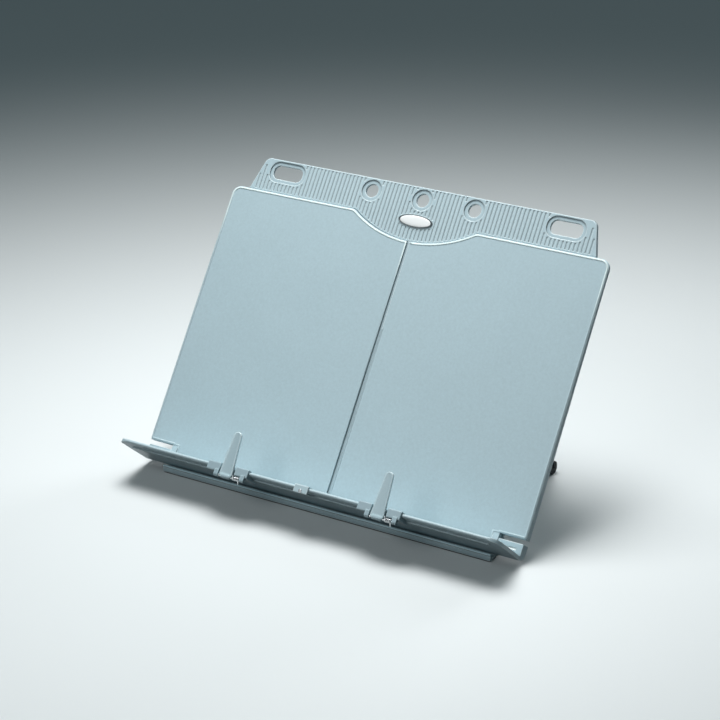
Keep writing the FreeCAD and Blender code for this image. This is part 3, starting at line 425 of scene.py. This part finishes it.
@dataclass(frozen=True)
class GlossEnamel:
    """White enamel under a clear coat, with a dark line round an oval."""

    name: str
    colour: tuple[float, float, float]
    line: tuple[float, float, float] = (0.06, 0.08, 0.09)
    line_start: float = 0.80
    roughness: float = 0.30
    ripple: float = 2.5 * MM
    ripple_shade: float = 0.97
    ripple_gloss: float = 0.08
    ripple_depth: float = 0.01 * MM
    edge: float = 0.2 * MM

    def make(self) -> bpy.types.Material:
        """Build the material."""
        sheet = ShaderSheet(self.name)
        ripple = sheet.noise(self.ripple, 2)
        board = board_matrix()
        plate = islands("badge", board.inverted(), 1.0)[0]
        x, y, _ = sheet.coordinates(board @ Matrix.Translation(plate.middle))
        across, up = (plate.high - plate.low).xy / 2
        oval = (x * (1 / across)) * (x * (1 / across)) + (y * (1 / up)) * (y * (1 / up))
        white = sheet.blend(ripple, shaded(self.colour, self.ripple_shade), self.colour)
        soft, _ = sheet.rounded(self.edge)
        return sheet.dress(
            Base_Color=sheet.blend(oval.above(self.line_start), white, self.line),
            Roughness=(ripple - 0.5) * self.ripple_gloss + self.roughness,
            Normal=sheet.bump(ripple, self.ripple_depth, soft),
            Coat_Weight=0.2,
            Coat_Roughness=0.12,
        )


@dataclass(frozen=True)
class StudioFloor:
    """Pale paper sweep, which throws back less light on the holder than it shows."""

    name: str
    colour: tuple[float, float, float]
    bounce: float = 0.14
    roughness: float = 0.62
    cloud: float = 400 * MM
    cloud_gloss: float = 0.05

    def make(self) -> bpy.types.Material:
        """Build the material."""
        sheet = ShaderSheet(self.name)
        cloud = sheet.noise(self.cloud, 2)
        seen = sheet.node("ShaderNodeLightPath", {}, {}, "Is Camera Ray")
        mirrored = sheet.node("ShaderNodeLightPath", {}, {}, "Is Glossy Ray")
        shown = (seen + mirrored).clipped()
        paper = sheet.blend(shown, shaded(self.colour, self.bounce), self.colour)
        return sheet.dress(
            Base_Color=paper,
            Roughness=(cloud - 0.5) * self.cloud_gloss + self.roughness,
            Specular_IOR_Level=0.3,
        )


FINISHES = {
    Finish.BOARD: MouldedPlastic("platinum_plastic", (0.43, 0.565, 0.615)),
    # The clip plastic is darker than the board's; part of that darkness is painted shade for the shaded fronts of
    # the clip blocks.
    Finish.CLIP: MouldedPlastic("clip_plastic", (0.335, 0.45, 0.50), grain=0.35 * MM,
                                grain_depth=0.008 * MM, mottle=0.04, roughness=0.30),
    Finish.BADGE: GlossEnamel("badge_enamel", (0.88, 0.91, 0.91)),
    Finish.RUBBER: WornRubber("foot_rubber", (0.025, 0.030, 0.034)),
    Finish.STEEL: DrawnSteel("plated_steel", (0.74, 0.77, 0.79)),
    # Bead plastic: lighter than the board as a painted highlight, and lighter again above 142 mm, a painted
    # highlight on the board's top.
    LookOverride.BEAD: MouldedPlastic("bead_plastic", (0.50, 0.635, 0.68), grain_depth=0.006 * MM,
                              roughness=0.34, edge_painted_highlight=1.15, crevice_painted_shade=1.0,
                              painted_highlight_over=142 * MM, painted_highlight_fade=20 * MM, painted_highlight_gain=1.7),
    # Blade plastic: a lighter copy of the clip plastic for the lit blade, with wide painted highlights along its
    # edges.
    LookOverride.BLADE: MouldedPlastic("blade_plastic", (0.40, 0.535, 0.585), grain=0.35 * MM,
                               grain_depth=0.006 * MM, mottle=0.04, roughness=0.30,
                               edge=1.7 * MM, edge_painted_highlight=1.75),
    # Rim plastic: near white, a painted highlight on the blade's sides and rounded edges.
    LookOverride.RIM: MouldedPlastic("rim_plastic", (0.80, 0.92, 0.95), grain_depth=0.004 * MM,
                             mottle=0.03, roughness=0.28, edge_painted_highlight=1.05, crevice_painted_shade=1.0),
    # Lip plastic: lightened above 4.9 mm, a painted highlight along the top of the rail's front lip.
    LookOverride.LIP: MouldedPlastic("lip_plastic", (0.42, 0.56, 0.61), grain_depth=0.008 * MM,
                             roughness=0.30, painted_highlight_over=4.9 * MM, painted_highlight_gain=1.65),
    LookOverride.PIN: DrawnSteel("dull_steel", (0.22, 0.25, 0.27), roughness=0.55),
}


class Wardrobe:
    """Makes each finish once and hands it out."""

    def __init__(self) -> None:
        """Start with nothing made."""
        self.made: dict[Finish | LookOverride, bpy.types.Material] = {}

    def get(self, finish: Finish | LookOverride) -> bpy.types.Material:
        """The material of a finish."""
        if finish not in self.made:
            self.made[finish] = FINISHES[finish].make()
        return self.made[finish]

    def dress(self, piece: bpy.types.Object, finish: Finish | LookOverride) -> None:
        """Give a piece one finish all over."""
        piece.data.materials.clear()
        piece.data.materials.append(self.get(finish))


# ---- modelling -----------------------------------------------------------------------------


class Bench:
    """Where new pieces are modelled, one at a time."""

    TRACE_MERGE = 2e-6
    JOIN_MERGE = 1e-6

    @staticmethod
    def clear() -> None:
        """Deselect everything."""
        if bpy.context.object and bpy.context.object.mode != "OBJECT":
            bpy.ops.object.mode_set(mode="OBJECT")
        bpy.ops.object.select_all(action="DESELECT")

    @staticmethod
    def take(piece: bpy.types.Object) -> None:
        """Select one piece alone and make it the active one."""
        Bench.clear()
        bpy.context.view_layer.objects.active = piece
        piece.select_set(True)

    @staticmethod
    def start(name: str, add: Callable, **settings: object) -> bpy.types.Object:
        """Add a primitive.

        Args:
            name: name of the piece.
            add: the operator that adds it.
            settings: its size and place.

        Returns:
            The new object, selected.
        """
        Bench.clear()
        add(**settings)
        piece = bpy.context.object
        piece.name = name
        piece.data.name = name
        bpy.ops.object.transform_apply(location=True, rotation=True, scale=True)
        return piece

    @staticmethod
    def pick(piece: bpy.types.Object, chosen: Callable, mode: str = "FACE") -> None:
        """Open a piece in edit mode with the faces or edges selected that a test picks.

        Args:
            piece: the piece to open.
            chosen: test of a face or an edge, by its centre and its normal or direction.
            mode: FACE or EDGE.
        """
        Bench.take(piece)
        mesh = piece.data
        bpy.ops.object.mode_set(mode="EDIT")
        bpy.ops.mesh.select_mode(type=mode)
        bpy.ops.mesh.select_all(action="DESELECT")
        bpy.ops.object.mode_set(mode="OBJECT")
        if mode == "FACE":
            for face in mesh.polygons:
                face.select = bool(chosen(face.center, face.normal))
        else:
            for edge in mesh.edges:
                a, b = (mesh.vertices[i].co for i in edge.vertices)
                edge.select = bool(chosen((a + b) / 2, (b - a).normalized()))
        bpy.ops.object.mode_set(mode="EDIT")

    @staticmethod
    def leave() -> None:
        """Close edit mode."""
        bpy.ops.object.mode_set(mode="OBJECT")

    @staticmethod
    def modify(piece: bpy.types.Object, kind: str, **settings: object) -> None:
        """Add a modifier and apply it.

        Args:
            piece: the piece to change.
            kind: the modifier's type.
            settings: its properties.
        """
        Bench.take(piece)
        modifier = piece.modifiers.new(kind.lower(), kind)
        for name, value in settings.items():
            setattr(modifier, name, value)
        bpy.ops.object.modifier_apply(modifier=modifier.name)

    @staticmethod
    def place(piece: bpy.types.Object, where: Matrix) -> None:
        """Move a piece's mesh, and leave its object at the origin."""
        Bench.take(piece)
        piece.matrix_world = where @ piece.matrix_world
        bpy.ops.object.transform_apply(location=True, rotation=True, scale=True)

    @staticmethod
    def copy(piece: bpy.types.Object, where: Matrix) -> bpy.types.Object:
        """A copy of a piece, with its own mesh, set in another place."""
        twin = piece.copy()
        twin.data = piece.data.copy()
        bpy.context.scene.collection.objects.link(twin)
        Bench.place(twin, where)
        return twin

    @staticmethod
    def tracing(name: str, node: str, where: Matrix) -> bpy.types.Object:
        """A copy of a CAD node with its triangles merged into whole faces.

        Args:
            name: name of the copy.
            node: the node's name.
            where: moves the copy, as into a frame where its faces are easy to pick.

        Returns:
            The copy.
        """
        piece = Bench.copy(frame["nodes"][node], where)
        piece.parent = None
        piece.name = name
        piece.data.name = name
        Bench.pick(piece, lambda centre, normal: True)
        bpy.ops.mesh.remove_doubles(threshold=Bench.TRACE_MERGE)
        Bench.leave()
        return piece

    @staticmethod
    def join(name: str, pieces: Sequence[bpy.types.Object]) -> bpy.types.Object:
        """Join pieces into one, with its faces turned outwards.

        Args:
            name: name of the whole.
            pieces: what is joined.

        Returns:
            The whole.
        """
        Bench.clear()
        for piece in pieces:
            piece.select_set(True)
        bpy.context.view_layer.objects.active = pieces[0]
        bpy.ops.object.join()
        whole = bpy.context.object
        whole.name = name
        whole.data.name = name
        bpy.ops.object.mode_set(mode="EDIT")
        bpy.ops.mesh.select_all(action="SELECT")
        bpy.ops.mesh.remove_doubles(threshold=Bench.JOIN_MERGE)
        bpy.ops.mesh.normals_make_consistent(inside=False)
        bpy.ops.object.mode_set(mode="OBJECT")
        return whole

    @staticmethod
    def smooth(piece: bpy.types.Object, degrees: float = 35.0) -> None:
        """Smooth a piece's shading across its gentle edges."""
        Bench.take(piece)
        bpy.ops.object.shade_smooth_by_angle(angle=math.radians(degrees))


@dataclass(frozen=True)
class Island:
    """One solid of a CAD node, measured in a frame of its own."""

    low: Vector
    high: Vector

    @property
    def middle(self) -> Vector:
        """Centre of its box."""
        return (self.low + self.high) / 2


def islands(node: str, inverse: Matrix, spacing: float) -> list[Island]:
    """Measure the solids of a CAD node.

    Args:
        node: the node's name.
        inverse: turns a place in the holder into a place in the frame of the measurement.
        spacing: solids further apart than this, across the frame's X and Y, are separate.

    Returns:
        The solids, in no order.
    """
    groups: list[list[Vector]] = []
    for vertex in frame["nodes"][node].data.vertices:
        place = inverse @ vertex.co
        for group in groups:
            if (group[0].xy - place.xy).length < spacing:
                group.append(place)
                break
        else:
            groups.append([place])
    return [Island(Vector(map(min, *group)), Vector(map(max, *group))) for group in groups]


def joint(name: str) -> dict:
    """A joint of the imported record."""
    return next(j for j in frame["joints"] if j["name"] == name)


def board_matrix() -> Matrix:
    """Frame on the middle ring hole: X across the board, Y up it and Z out of its face."""
    mount = next(m for m in frame["record"]["mounts"] if m["name"] == "ring_hole_middle")
    out = Vector(mount["axis"]).normalized()
    across = Vector((1, 0, 0))
    up = out.cross(across)
    turn = Matrix((across, up, out)).transposed().to_4x4()
    return Matrix.Translation(mount["pos_m"]) @ turn


# ---- sub-assemblies ------------------------------------------------------------------------


@dataclass
class Holder:
    """What every sub-assembly shares."""

    wardrobe: Wardrobe

    def dress_nodes(self) -> None:
        """Give every CAD node the finish that the record names for it."""
        for part in frame["record"]["subparts"]:
            hidden_pin = part["node"].startswith("ledge_pin")
            finish = LookOverride.PIN if hidden_pin else Finish(part["material_slot"])
            self.wardrobe.dress(frame["nodes"][part["node"]], finish)

    def enter(self, piece: bpy.types.Object, body: str, finish: Finish, *nodes: str,
              look_override: LookOverride | None = None) -> None:
        """Finish a piece and tell the frame about it.

        Args:
            piece: the finished piece.
            body: the CAD body that it rides on.
            finish: its finish, which is also its material slot.
            nodes: the CAD nodes that it stands for.
            look_override: the look that it has in place of the slot's own, if any.
        """
        self.wardrobe.dress(piece, look_override or finish)
        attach(piece, body)
        if nodes:
            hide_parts(*nodes)
        log.info("made %s on %s", piece.name, body)


@dataclass
class NamePlate(Holder):
    """Blank oval plate in the header's lobe."""

    rim: float = 0.06
    step_down: float = 0.25 * MM
    dome: float = 0.55 * MM
    rings: int = 5
    sides: int = 96
    edge: float = 0.12 * MM

    def build(self) -> None:
        """Model the plate as a shallow dome inside a raised rim."""
        board = board_matrix()
        place = islands("badge", board.inverted(), 1.0)[0]
        length, height, wall = place.high - place.low
        piece = Bench.start("name_plate", bpy.ops.mesh.primitive_cylinder_add,
                            vertices=self.sides, radius=0.5, depth=wall, end_fill_type="NGON")
        Bench.pick(piece, lambda centre, normal: True)
        bpy.ops.transform.resize(value=(length, height, 1))
        Bench.pick(piece, lambda centre, normal: normal.z > FACING)
        self.step(1 - self.rim, 0.0)
        self.step(1 - self.rim / 2, -self.step_down)
        reach, climbed = 1.0, 0.0
        for ring in range(1, self.rings + 1):
            lean = ring / (self.rings + 1) * math.pi / 2
            self.step(math.cos(lean) / reach, self.dome * (math.sin(lean) - climbed))
            reach, climbed = math.cos(lean), math.sin(lean)
        Bench.leave()
        Bench.modify(piece, "BEVEL", width=self.edge, segments=2, limit_method="ANGLE")
        Bench.smooth(piece)
        Bench.place(piece, board @ Matrix.Translation(place.middle))
        self.enter(piece, "holder", Finish.BADGE, "badge")

    @staticmethod
    def step(shrink: float, rise: float) -> None:
        """Extrude the selected face, shrink it about the plate's middle and lift it.

        Args:
            shrink: its size over the size before.
            rise: how far it is lifted, in metres.
        """
        bpy.ops.mesh.extrude_region_move(TRANSFORM_OT_translate={"value": (0, 0, rise)})
        bpy.ops.transform.resize(value=(shrink, shrink, 1))


@dataclass
class Fasteners(Holder):
    """Pan-head screws with a cross recess, driven in from behind."""

    sides: int = 40
    shank_sides: int = 24
    head: float = 1.5 * MM
    crown: float = 0.55
    crown_start: float = 0.8
    shank: float = 0.48
    cross_length: float = 1.15
    cross_width: float = 0.75 * MM
    cross_depth: float = 0.9 * MM
    apart: float = 7 * MM
    turn: float = 0.7

    def screw(self, solid: Island) -> bpy.types.Object:
        """Model one screw, head down, standing at the origin.

        Args:
            solid: the CAD solid that it stands for.

        Returns:
            The screw.
        """
        radius = (solid.high.x - solid.low.x) / 2
        length = solid.high.z - solid.low.z
        head = Bench.start("head", bpy.ops.mesh.primitive_cylinder_add, vertices=self.sides,
                           radius=radius, depth=self.head, location=(0, 0, self.head / 2))
        Bench.pick(head, lambda middle, line: middle.z < self.head / 10
                   and middle.xy.length > radius * self.crown_start, "EDGE")
        bpy.ops.mesh.bevel(offset=self.head * self.crown, segments=4)
        Bench.leave()
        for turn in (0, math.pi / 2):
            bar = Bench.start("bar", bpy.ops.mesh.primitive_cube_add, size=1,
                              scale=(radius * self.cross_length, self.cross_width,
                                     2 * self.cross_depth),
                              rotation=(0, 0, turn))
            Bench.modify(head, "BOOLEAN", object=bar)
            bpy.data.objects.remove(bar)
        shank = Bench.start("shank", bpy.ops.mesh.primitive_cylinder_add,
                            vertices=self.shank_sides, radius=radius * self.shank,
                            depth=length - self.head, location=(0, 0, (length + self.head) / 2))
        return Bench.join("screw", [head, shank])

    def build(self) -> None:
        """Model one screw for each group and copy it to the others' places."""
        board = board_matrix()
        for node in ("shell_screws", "rail_screws", "bracket_screws"):
            solids = islands(node, board.inverted(), self.apart)
            first = self.screw(solids[0])
            copies = []
            for number, solid in enumerate(solids):
                turn = Matrix.Rotation(number * self.turn, 4, "Z")
                seat = Matrix.Translation((*solid.middle.xy, solid.low.z))
                copies.append(Bench.copy(first, board @ seat @ turn))
            bpy.data.objects.remove(first)
            piece = Bench.join(node + "_driven", copies)
            Bench.smooth(piece, 30)
            self.enter(piece, "holder", Finish.STEEL, node)


@dataclass
class FootStrip(Holder):
    """Rubber strip under the foot rail, with a ribbed tread."""

    rib: float = 1.4 * MM
    gap: float = 0.8 * MM
    groove: float = 0.35 * MM

    def build(self) -> None:
        """Cut the tread's grooves along the strip."""
        low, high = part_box("rubber_strip")
        size = high - low
        count = int(size.y / (self.rib + self.gap))
        pitch = size.y / count
        middle = (low + high) / 2
        body = Bench.start("strip_body", bpy.ops.mesh.primitive_cube_add, size=1,
                           location=(middle.x, middle.y, (high.z + low.z + self.groove) / 2),
                           scale=(size.x, size.y, size.z - self.groove))
        rib = Bench.start("strip_rib", bpy.ops.mesh.primitive_cube_add, size=1,
                          location=(middle.x, low.y + (pitch - self.gap) / 2,
                                    low.z + self.groove / 2),
                          scale=(size.x, pitch - self.gap, self.groove))
        Bench.modify(rib, "ARRAY", count=count, use_relative_offset=False,
                     use_constant_offset=True, constant_offset_displace=(0, pitch, 0))
        piece = Bench.join("foot_strip_tread", [body, rib])
        self.enter(piece, "holder", Finish.RUBBER, "rubber_strip")


@dataclass
class BoardBorder(Holder):
    """Polished bead round each half of the board's face, inside its rounded edge, lighter than the board as a
    painted highlight.
    """

    width: float = 1.15 * MM
    height: float = 0.22 * MM
    root: float = 0.12 * MM
    edge: float = 0.1 * MM
    flatness: float = 0.02 * MM
    merge_angle: float = 0.2
    bend: float = 50.0

    def build(self) -> None:
        """Trace the board's face and raise a band along its outline."""
        board = board_matrix()
        piece = Bench.tracing("board_border", "front_panel", board.inverted())
        levels: dict[float, float] = {}
        for flat in piece.data.polygons:
            if flat.normal.z > FLAT:
                level = round(flat.center.z, 5)
                levels[level] = levels.get(level, 0.0) + flat.area
        face = max(levels, key=levels.get)
        Bench.pick(piece, lambda centre, normal: normal.z < FLAT
                   or abs(centre.z - face) > self.flatness)
        bpy.ops.mesh.delete(type="FACE")
        bpy.ops.mesh.select_all(action="SELECT")
        bpy.ops.mesh.dissolve_limited(angle_limit=math.radians(self.merge_angle))
        bpy.ops.mesh.inset(thickness=self.width, use_even_offset=True)
        bpy.ops.mesh.delete(type="FACE")
        Bench.leave()
        Bench.modify(piece, "SOLIDIFY", thickness=self.height + self.root, offset=1)
        Bench.modify(piece, "BEVEL", width=self.edge, segments=2, limit_method="ANGLE",
                     angle_limit=math.radians(self.bend))
        Bench.place(piece, Matrix.Translation((0, 0, -self.root)))
        Bench.smooth(piece, self.bend)
        Bench.place(piece, board)
        self.enter(piece, "holder", Finish.CLIP, look_override=LookOverride.BEAD)


@dataclass
class RailLip(Holder):
    """Upstanding wall along the front of the foot rail, with a drip groove under its top."""

    wall: float = 1.4 * MM
    sunk: float = 0.3 * MM
    rise: float = 5.0 * MM
    proud: float = 0.02 * MM
    head: float = 1.1 * MM
    groove: float = 0.35 * MM
    edge: float = 0.12 * MM

    def build(self) -> None:
        """Stand the wall on the rail's nose."""
        low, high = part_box("foot_rail")
        foot, top = low.z + self.sunk, low.z + self.rise
        size = Vector((high.x - low.x, self.wall, top - foot))
        middle = Vector(((low.x + high.x) / 2, low.y - self.proud + self.wall / 2,
                         (foot + top) / 2))
        piece = Bench.start("rail_front_lip", bpy.ops.mesh.primitive_cube_add, size=1,
                            location=middle, scale=size)
        roof = top - self.head
        sill = roof - self.groove
        for height in (roof, sill):
            Bench.pick(piece, lambda centre, normal: True)
            bpy.ops.mesh.bisect(plane_co=(0, 0, height), plane_no=(0, 0, 1))
        Bench.pick(piece, lambda centre, normal: normal.y < -SQUARE and sill < centre.z < roof)
        bpy.ops.mesh.extrude_region_move(
            TRANSFORM_OT_translate={"value": (0, self.groove, 0)})
        Bench.leave()
        Bench.modify(piece, "BEVEL", width=self.edge, segments=2, limit_method="ANGLE")
        Bench.smooth(piece)
        self.enter(piece, "holder", Finish.CLIP, look_override=LookOverride.LIP)


@dataclass
class PageFinger(Holder):
    """Upright blade of a page clip: a dished face, a round tip and a soft round foot."""

    wall: float = 2.2 * MM
    barrel: float = 1.8 * MM
    barrel_sides: int = 40
    barrel_inset: float = 1.4
    tip_share: float = 0.51
    tip_round: float = 2.5 * MM
    foot_round: float = 2.3 * MM
    foot_lift: float = 0.95 * MM
    front_round: float = 0.45 * MM
    rim: float = 0.7 * MM
    dish: float = 0.2 * MM
    edge: float = 0.14 * MM
    rim_lean: float = 0.93

    def build(self) -> None:
        """Model both blades, each on its own hinge."""
        for side in ("left", "right"):
            hinge = Matrix.Translation(joint(f"{side}_finger_flip")["pos_m"])
            stand = hinge @ board_matrix().to_3x3().to_4x4()
            solid = islands(f"page_finger_{side}", stand.inverted(), 1.0)[0]
            blade = self.blade(solid)
            length = solid.high.x - solid.low.x - self.barrel_inset * self.foot_round
            barrel = Bench.start("barrel", bpy.ops.mesh.primitive_cylinder_add,
                                 vertices=self.barrel_sides, radius=self.barrel, depth=length,
                                 rotation=(0, math.pi / 2, 0), location=(solid.middle.x, 0, 0))
            Bench.modify(barrel, "BEVEL", width=self.edge, segments=3, limit_method="ANGLE")
            piece = Bench.join(f"{side}_page_blade", [blade, barrel])
            Bench.smooth(piece)
            # The blade's sides and rounded edges take a second, near-white material: a painted highlight.
            rim = [face.index for face in piece.data.polygons
                   if abs(face.normal.z) < self.rim_lean and face.center.y > self.barrel]
            Bench.place(piece, stand)
            self.enter(piece, f"{side}_finger", Finish.CLIP, f"page_finger_{side}",
                       look_override=LookOverride.BLADE)
            piece.data.materials.append(self.wardrobe.get(LookOverride.RIM))
            for index in rim:
                piece.data.polygons[index].material_index = 1

    def blade(self, solid: Island) -> bpy.types.Object:
        """Model a blade that stands along Y with its face towards Z.

        Args:
            solid: the CAD finger, in the same frame.

        Returns:
            The blade.
        """
        low = solid.low + Vector((0, self.foot_lift, 0))
        high = solid.high
        middle = (low + high) / 2
        piece = Bench.start("blade", bpy.ops.mesh.primitive_cube_add, size=1,
                            location=(middle.x, middle.y, high.z - self.wall / 2),
                            scale=(high.x - low.x, high.y - low.y, self.wall))
        Bench.pick(piece, lambda centre, normal: normal.y > FACING)
        bpy.ops.transform.resize(value=(self.tip_share, 1, 1))
        Bench.pick(piece, lambda place, line: abs(line.z) > SQUARE and place.y > middle.y,
                   "EDGE")
        bpy.ops.mesh.bevel(offset=self.tip_round, segments=8)
        Bench.pick(piece, lambda place, line: abs(line.z) > SQUARE and place.y < middle.y
                   and place.y < low.y + 0.1 * MM, "EDGE")
        bpy.ops.mesh.bevel(offset=self.foot_round, segments=6)
        Bench.pick(piece, lambda place, line: place.z > high.z - 0.01 * MM, "EDGE")
        bpy.ops.mesh.bevel(offset=self.front_round, segments=4)
        Bench.pick(piece, lambda centre, normal: normal.z > FLAT)
        bpy.ops.mesh.inset(thickness=self.rim)
        bpy.ops.transform.translate(value=(0, 0, -self.dish))
        Bench.leave()
        Bench.modify(piece, "BEVEL", width=self.edge, segments=3, limit_method="ANGLE",
                     angle_limit=math.radians(10))
        return piece


@dataclass
class ClipSpring(Holder):
    """Torsion spring beside each page finger, wound round the finger's pin."""

    wire: float = 0.35 * MM
    wire_sides: int = 12
    wire_end: float = 0.4
    turns: int = 5
    coil: float = 1.25 * MM
    steps: int = 24
    leg: float = 3.2 * MM
    start_turn: float = math.pi / 2

    def build(self) -> None:
        """Wind both springs and give each its two straight legs."""
        for side in ("left", "right"):
            node = f"finger_spring_{side}"
            low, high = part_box(node)
            hinge = Vector(joint(f"{side}_finger_flip")["pos_m"])
            run = high.x - low.x - 2 * self.wire
            coil = self.wind(run)
            down = self.straight(run, -1)
            up = self.straight(0.0, 1)
            piece = Bench.join(f"{side}_clip_spring", [coil, down, up])
            Bench.smooth(piece, 60)
            turn = Matrix.Rotation(self.start_turn, 4, "X")
            place = Matrix.Translation((low.x + self.wire, hinge.y, hinge.z))
            Bench.place(piece, place @ turn)
            self.enter(piece, f"{side}_clip", Finish.STEEL, node)

    def wind(self, run: float) -> bpy.types.Object:
        """Wind the coil along X, from the origin.

        Args:
            run: length from the middle of its first turn's wire to that of its last.

        Returns:
            The coil, which starts and ends above the axis.
        """
        piece = Bench.start("coil", bpy.ops.mesh.primitive_circle_add,
                            vertices=self.wire_sides, radius=self.wire, fill_type="NGON",
                            location=(0, 0, self.coil), rotation=(math.pi / 2, 0, 0))
        steps = self.steps * self.turns
        Bench.modify(piece, "SCREW", axis="X", angle=math.tau * self.turns, screw_offset=run,
                     steps=steps, render_steps=steps, use_merge_vertices=True)
        return piece

    def straight(self, x: float, way: int) -> bpy.types.Object:
        """Make a leg that runs on from an end of the coil.

        Args:
            x: its place along the coil.
            way: 1 for a leg towards Y, -1 for one away from it.

        Returns:
            The leg, with a rounded end.
        """
        piece = Bench.start("leg", bpy.ops.mesh.primitive_cylinder_add,
                            vertices=self.wire_sides, radius=self.wire, depth=self.leg,
                            rotation=(math.pi / 2, 0, 0),
                            location=(x, way * self.leg / 2, self.coil))
        Bench.modify(piece, "BEVEL", width=self.wire * self.wire_end, segments=2,
                     limit_method="ANGLE", angle_limit=math.radians(60))
        return piece


# ---- studio --------------------------------------------------------------------------------


@dataclass(frozen=True)
class SoftBox:
    """A square lamp that faces the holder: its place and side in metres, watts and degrees."""

    name: str
    where: tuple[float, float, float]
    size: float
    power: float
    spread: float

    def hang(self, aim: Sequence[float]) -> None:
        """Hang the lamp, turned to a place."""
        data = bpy.data.lights.new(self.name, "AREA")
        data.shape = "SQUARE"
        data.size = self.size
        data.energy = self.power
        data.spread = math.radians(self.spread)
        lamp = bpy.data.objects.new(self.name, data)
        lamp.location = self.where
        look = Vector(aim) - Vector(self.where)
        lamp.rotation_euler = look.to_track_quat("-Z", "Y").to_euler()
        bpy.context.scene.collection.objects.link(lamp)


@dataclass
class Studio:
    """Floor, lamps and camera."""

    eye: tuple[float, float, float] = (0.7558, -1.2203, 0.7411)
    aim: tuple[float, float, float] = (-0.0081, 0.0622, 0.0915)
    lens: float = 115.0
    sensor: float = 36.0
    near: float = 0.05
    floor_size: float = 12.0
    floor_colour: tuple[float, float, float] = (0.715, 0.755, 0.76)
    lamps: tuple[SoftBox, ...] = (
        SoftBox("top_box", (-0.18, 0.20, 1.08), size=0.6, power=4.4, spread=96),
        SoftBox("front_fill", (-0.30, -1.30, 1.02), size=0.8, power=1.7, spread=90),
        SoftBox("back_rim", (0.30, 1.25, 0.60), size=0.5, power=0.7, spread=60),
    )
    lamp_aim: tuple[float, float, float] = (0, 0.05, 0.09)
    glow_colour: tuple[float, float, float] = (0.60, 0.86, 0.94)
    glow: float = 0.10

    def camera(self) -> None:
        """Set the camera up level, looking at the board."""
        data = bpy.data.cameras.new("studio_camera")
        data.lens = self.lens
        data.sensor_width = self.sensor
        data.clip_start = self.near
        camera = bpy.data.objects.new("studio_camera", data)
        camera.location = self.eye
        look = Vector(self.aim) - Vector(self.eye)
        camera.rotation_euler = look.to_track_quat("-Z", "Y").to_euler()
        bpy.context.scene.collection.objects.link(camera)
        bpy.context.scene.camera = camera

    def floor(self) -> None:
        """Lay the floor under the holder."""
        low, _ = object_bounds()
        piece = Bench.start("studio_floor", bpy.ops.mesh.primitive_plane_add,
                            size=self.floor_size, location=(0, 0, low.z))
        piece.data.materials.append(StudioFloor("floor_paper", self.floor_colour).make())
        piece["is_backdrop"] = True

    def light(self) -> None:
        """Hang the lamps and set the world's glow."""
        for lamp in self.lamps:
            lamp.hang(self.lamp_aim)
        world = bpy.data.worlds.new("studio_world")
        world.use_nodes = True
        back = world.node_tree.nodes["Background"]
        back.inputs["Color"].default_value = (*self.glow_colour, 1)
        back.inputs["Strength"].default_value = self.glow
        bpy.context.scene.world = world

    def build(self) -> None:
        """Set up the whole studio."""
        self.camera()
        self.floor()
        self.light()
        bpy.context.scene.view_settings.view_transform = "Standard"


def main() -> None:
    """Dress the holder, model its small pieces and light it."""
    logging.basicConfig(level=logging.INFO, format="%(name)s: %(message)s")
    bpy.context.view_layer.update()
    wardrobe = Wardrobe()
    Holder(wardrobe).dress_nodes()
    for assembly in (BoardBorder, NamePlate, RailLip, FootStrip, PageFinger, ClipSpring,
                     Fasteners):
        assembly(wardrobe).build()
    Studio().build()


if __name__ == "__main__":
    main()
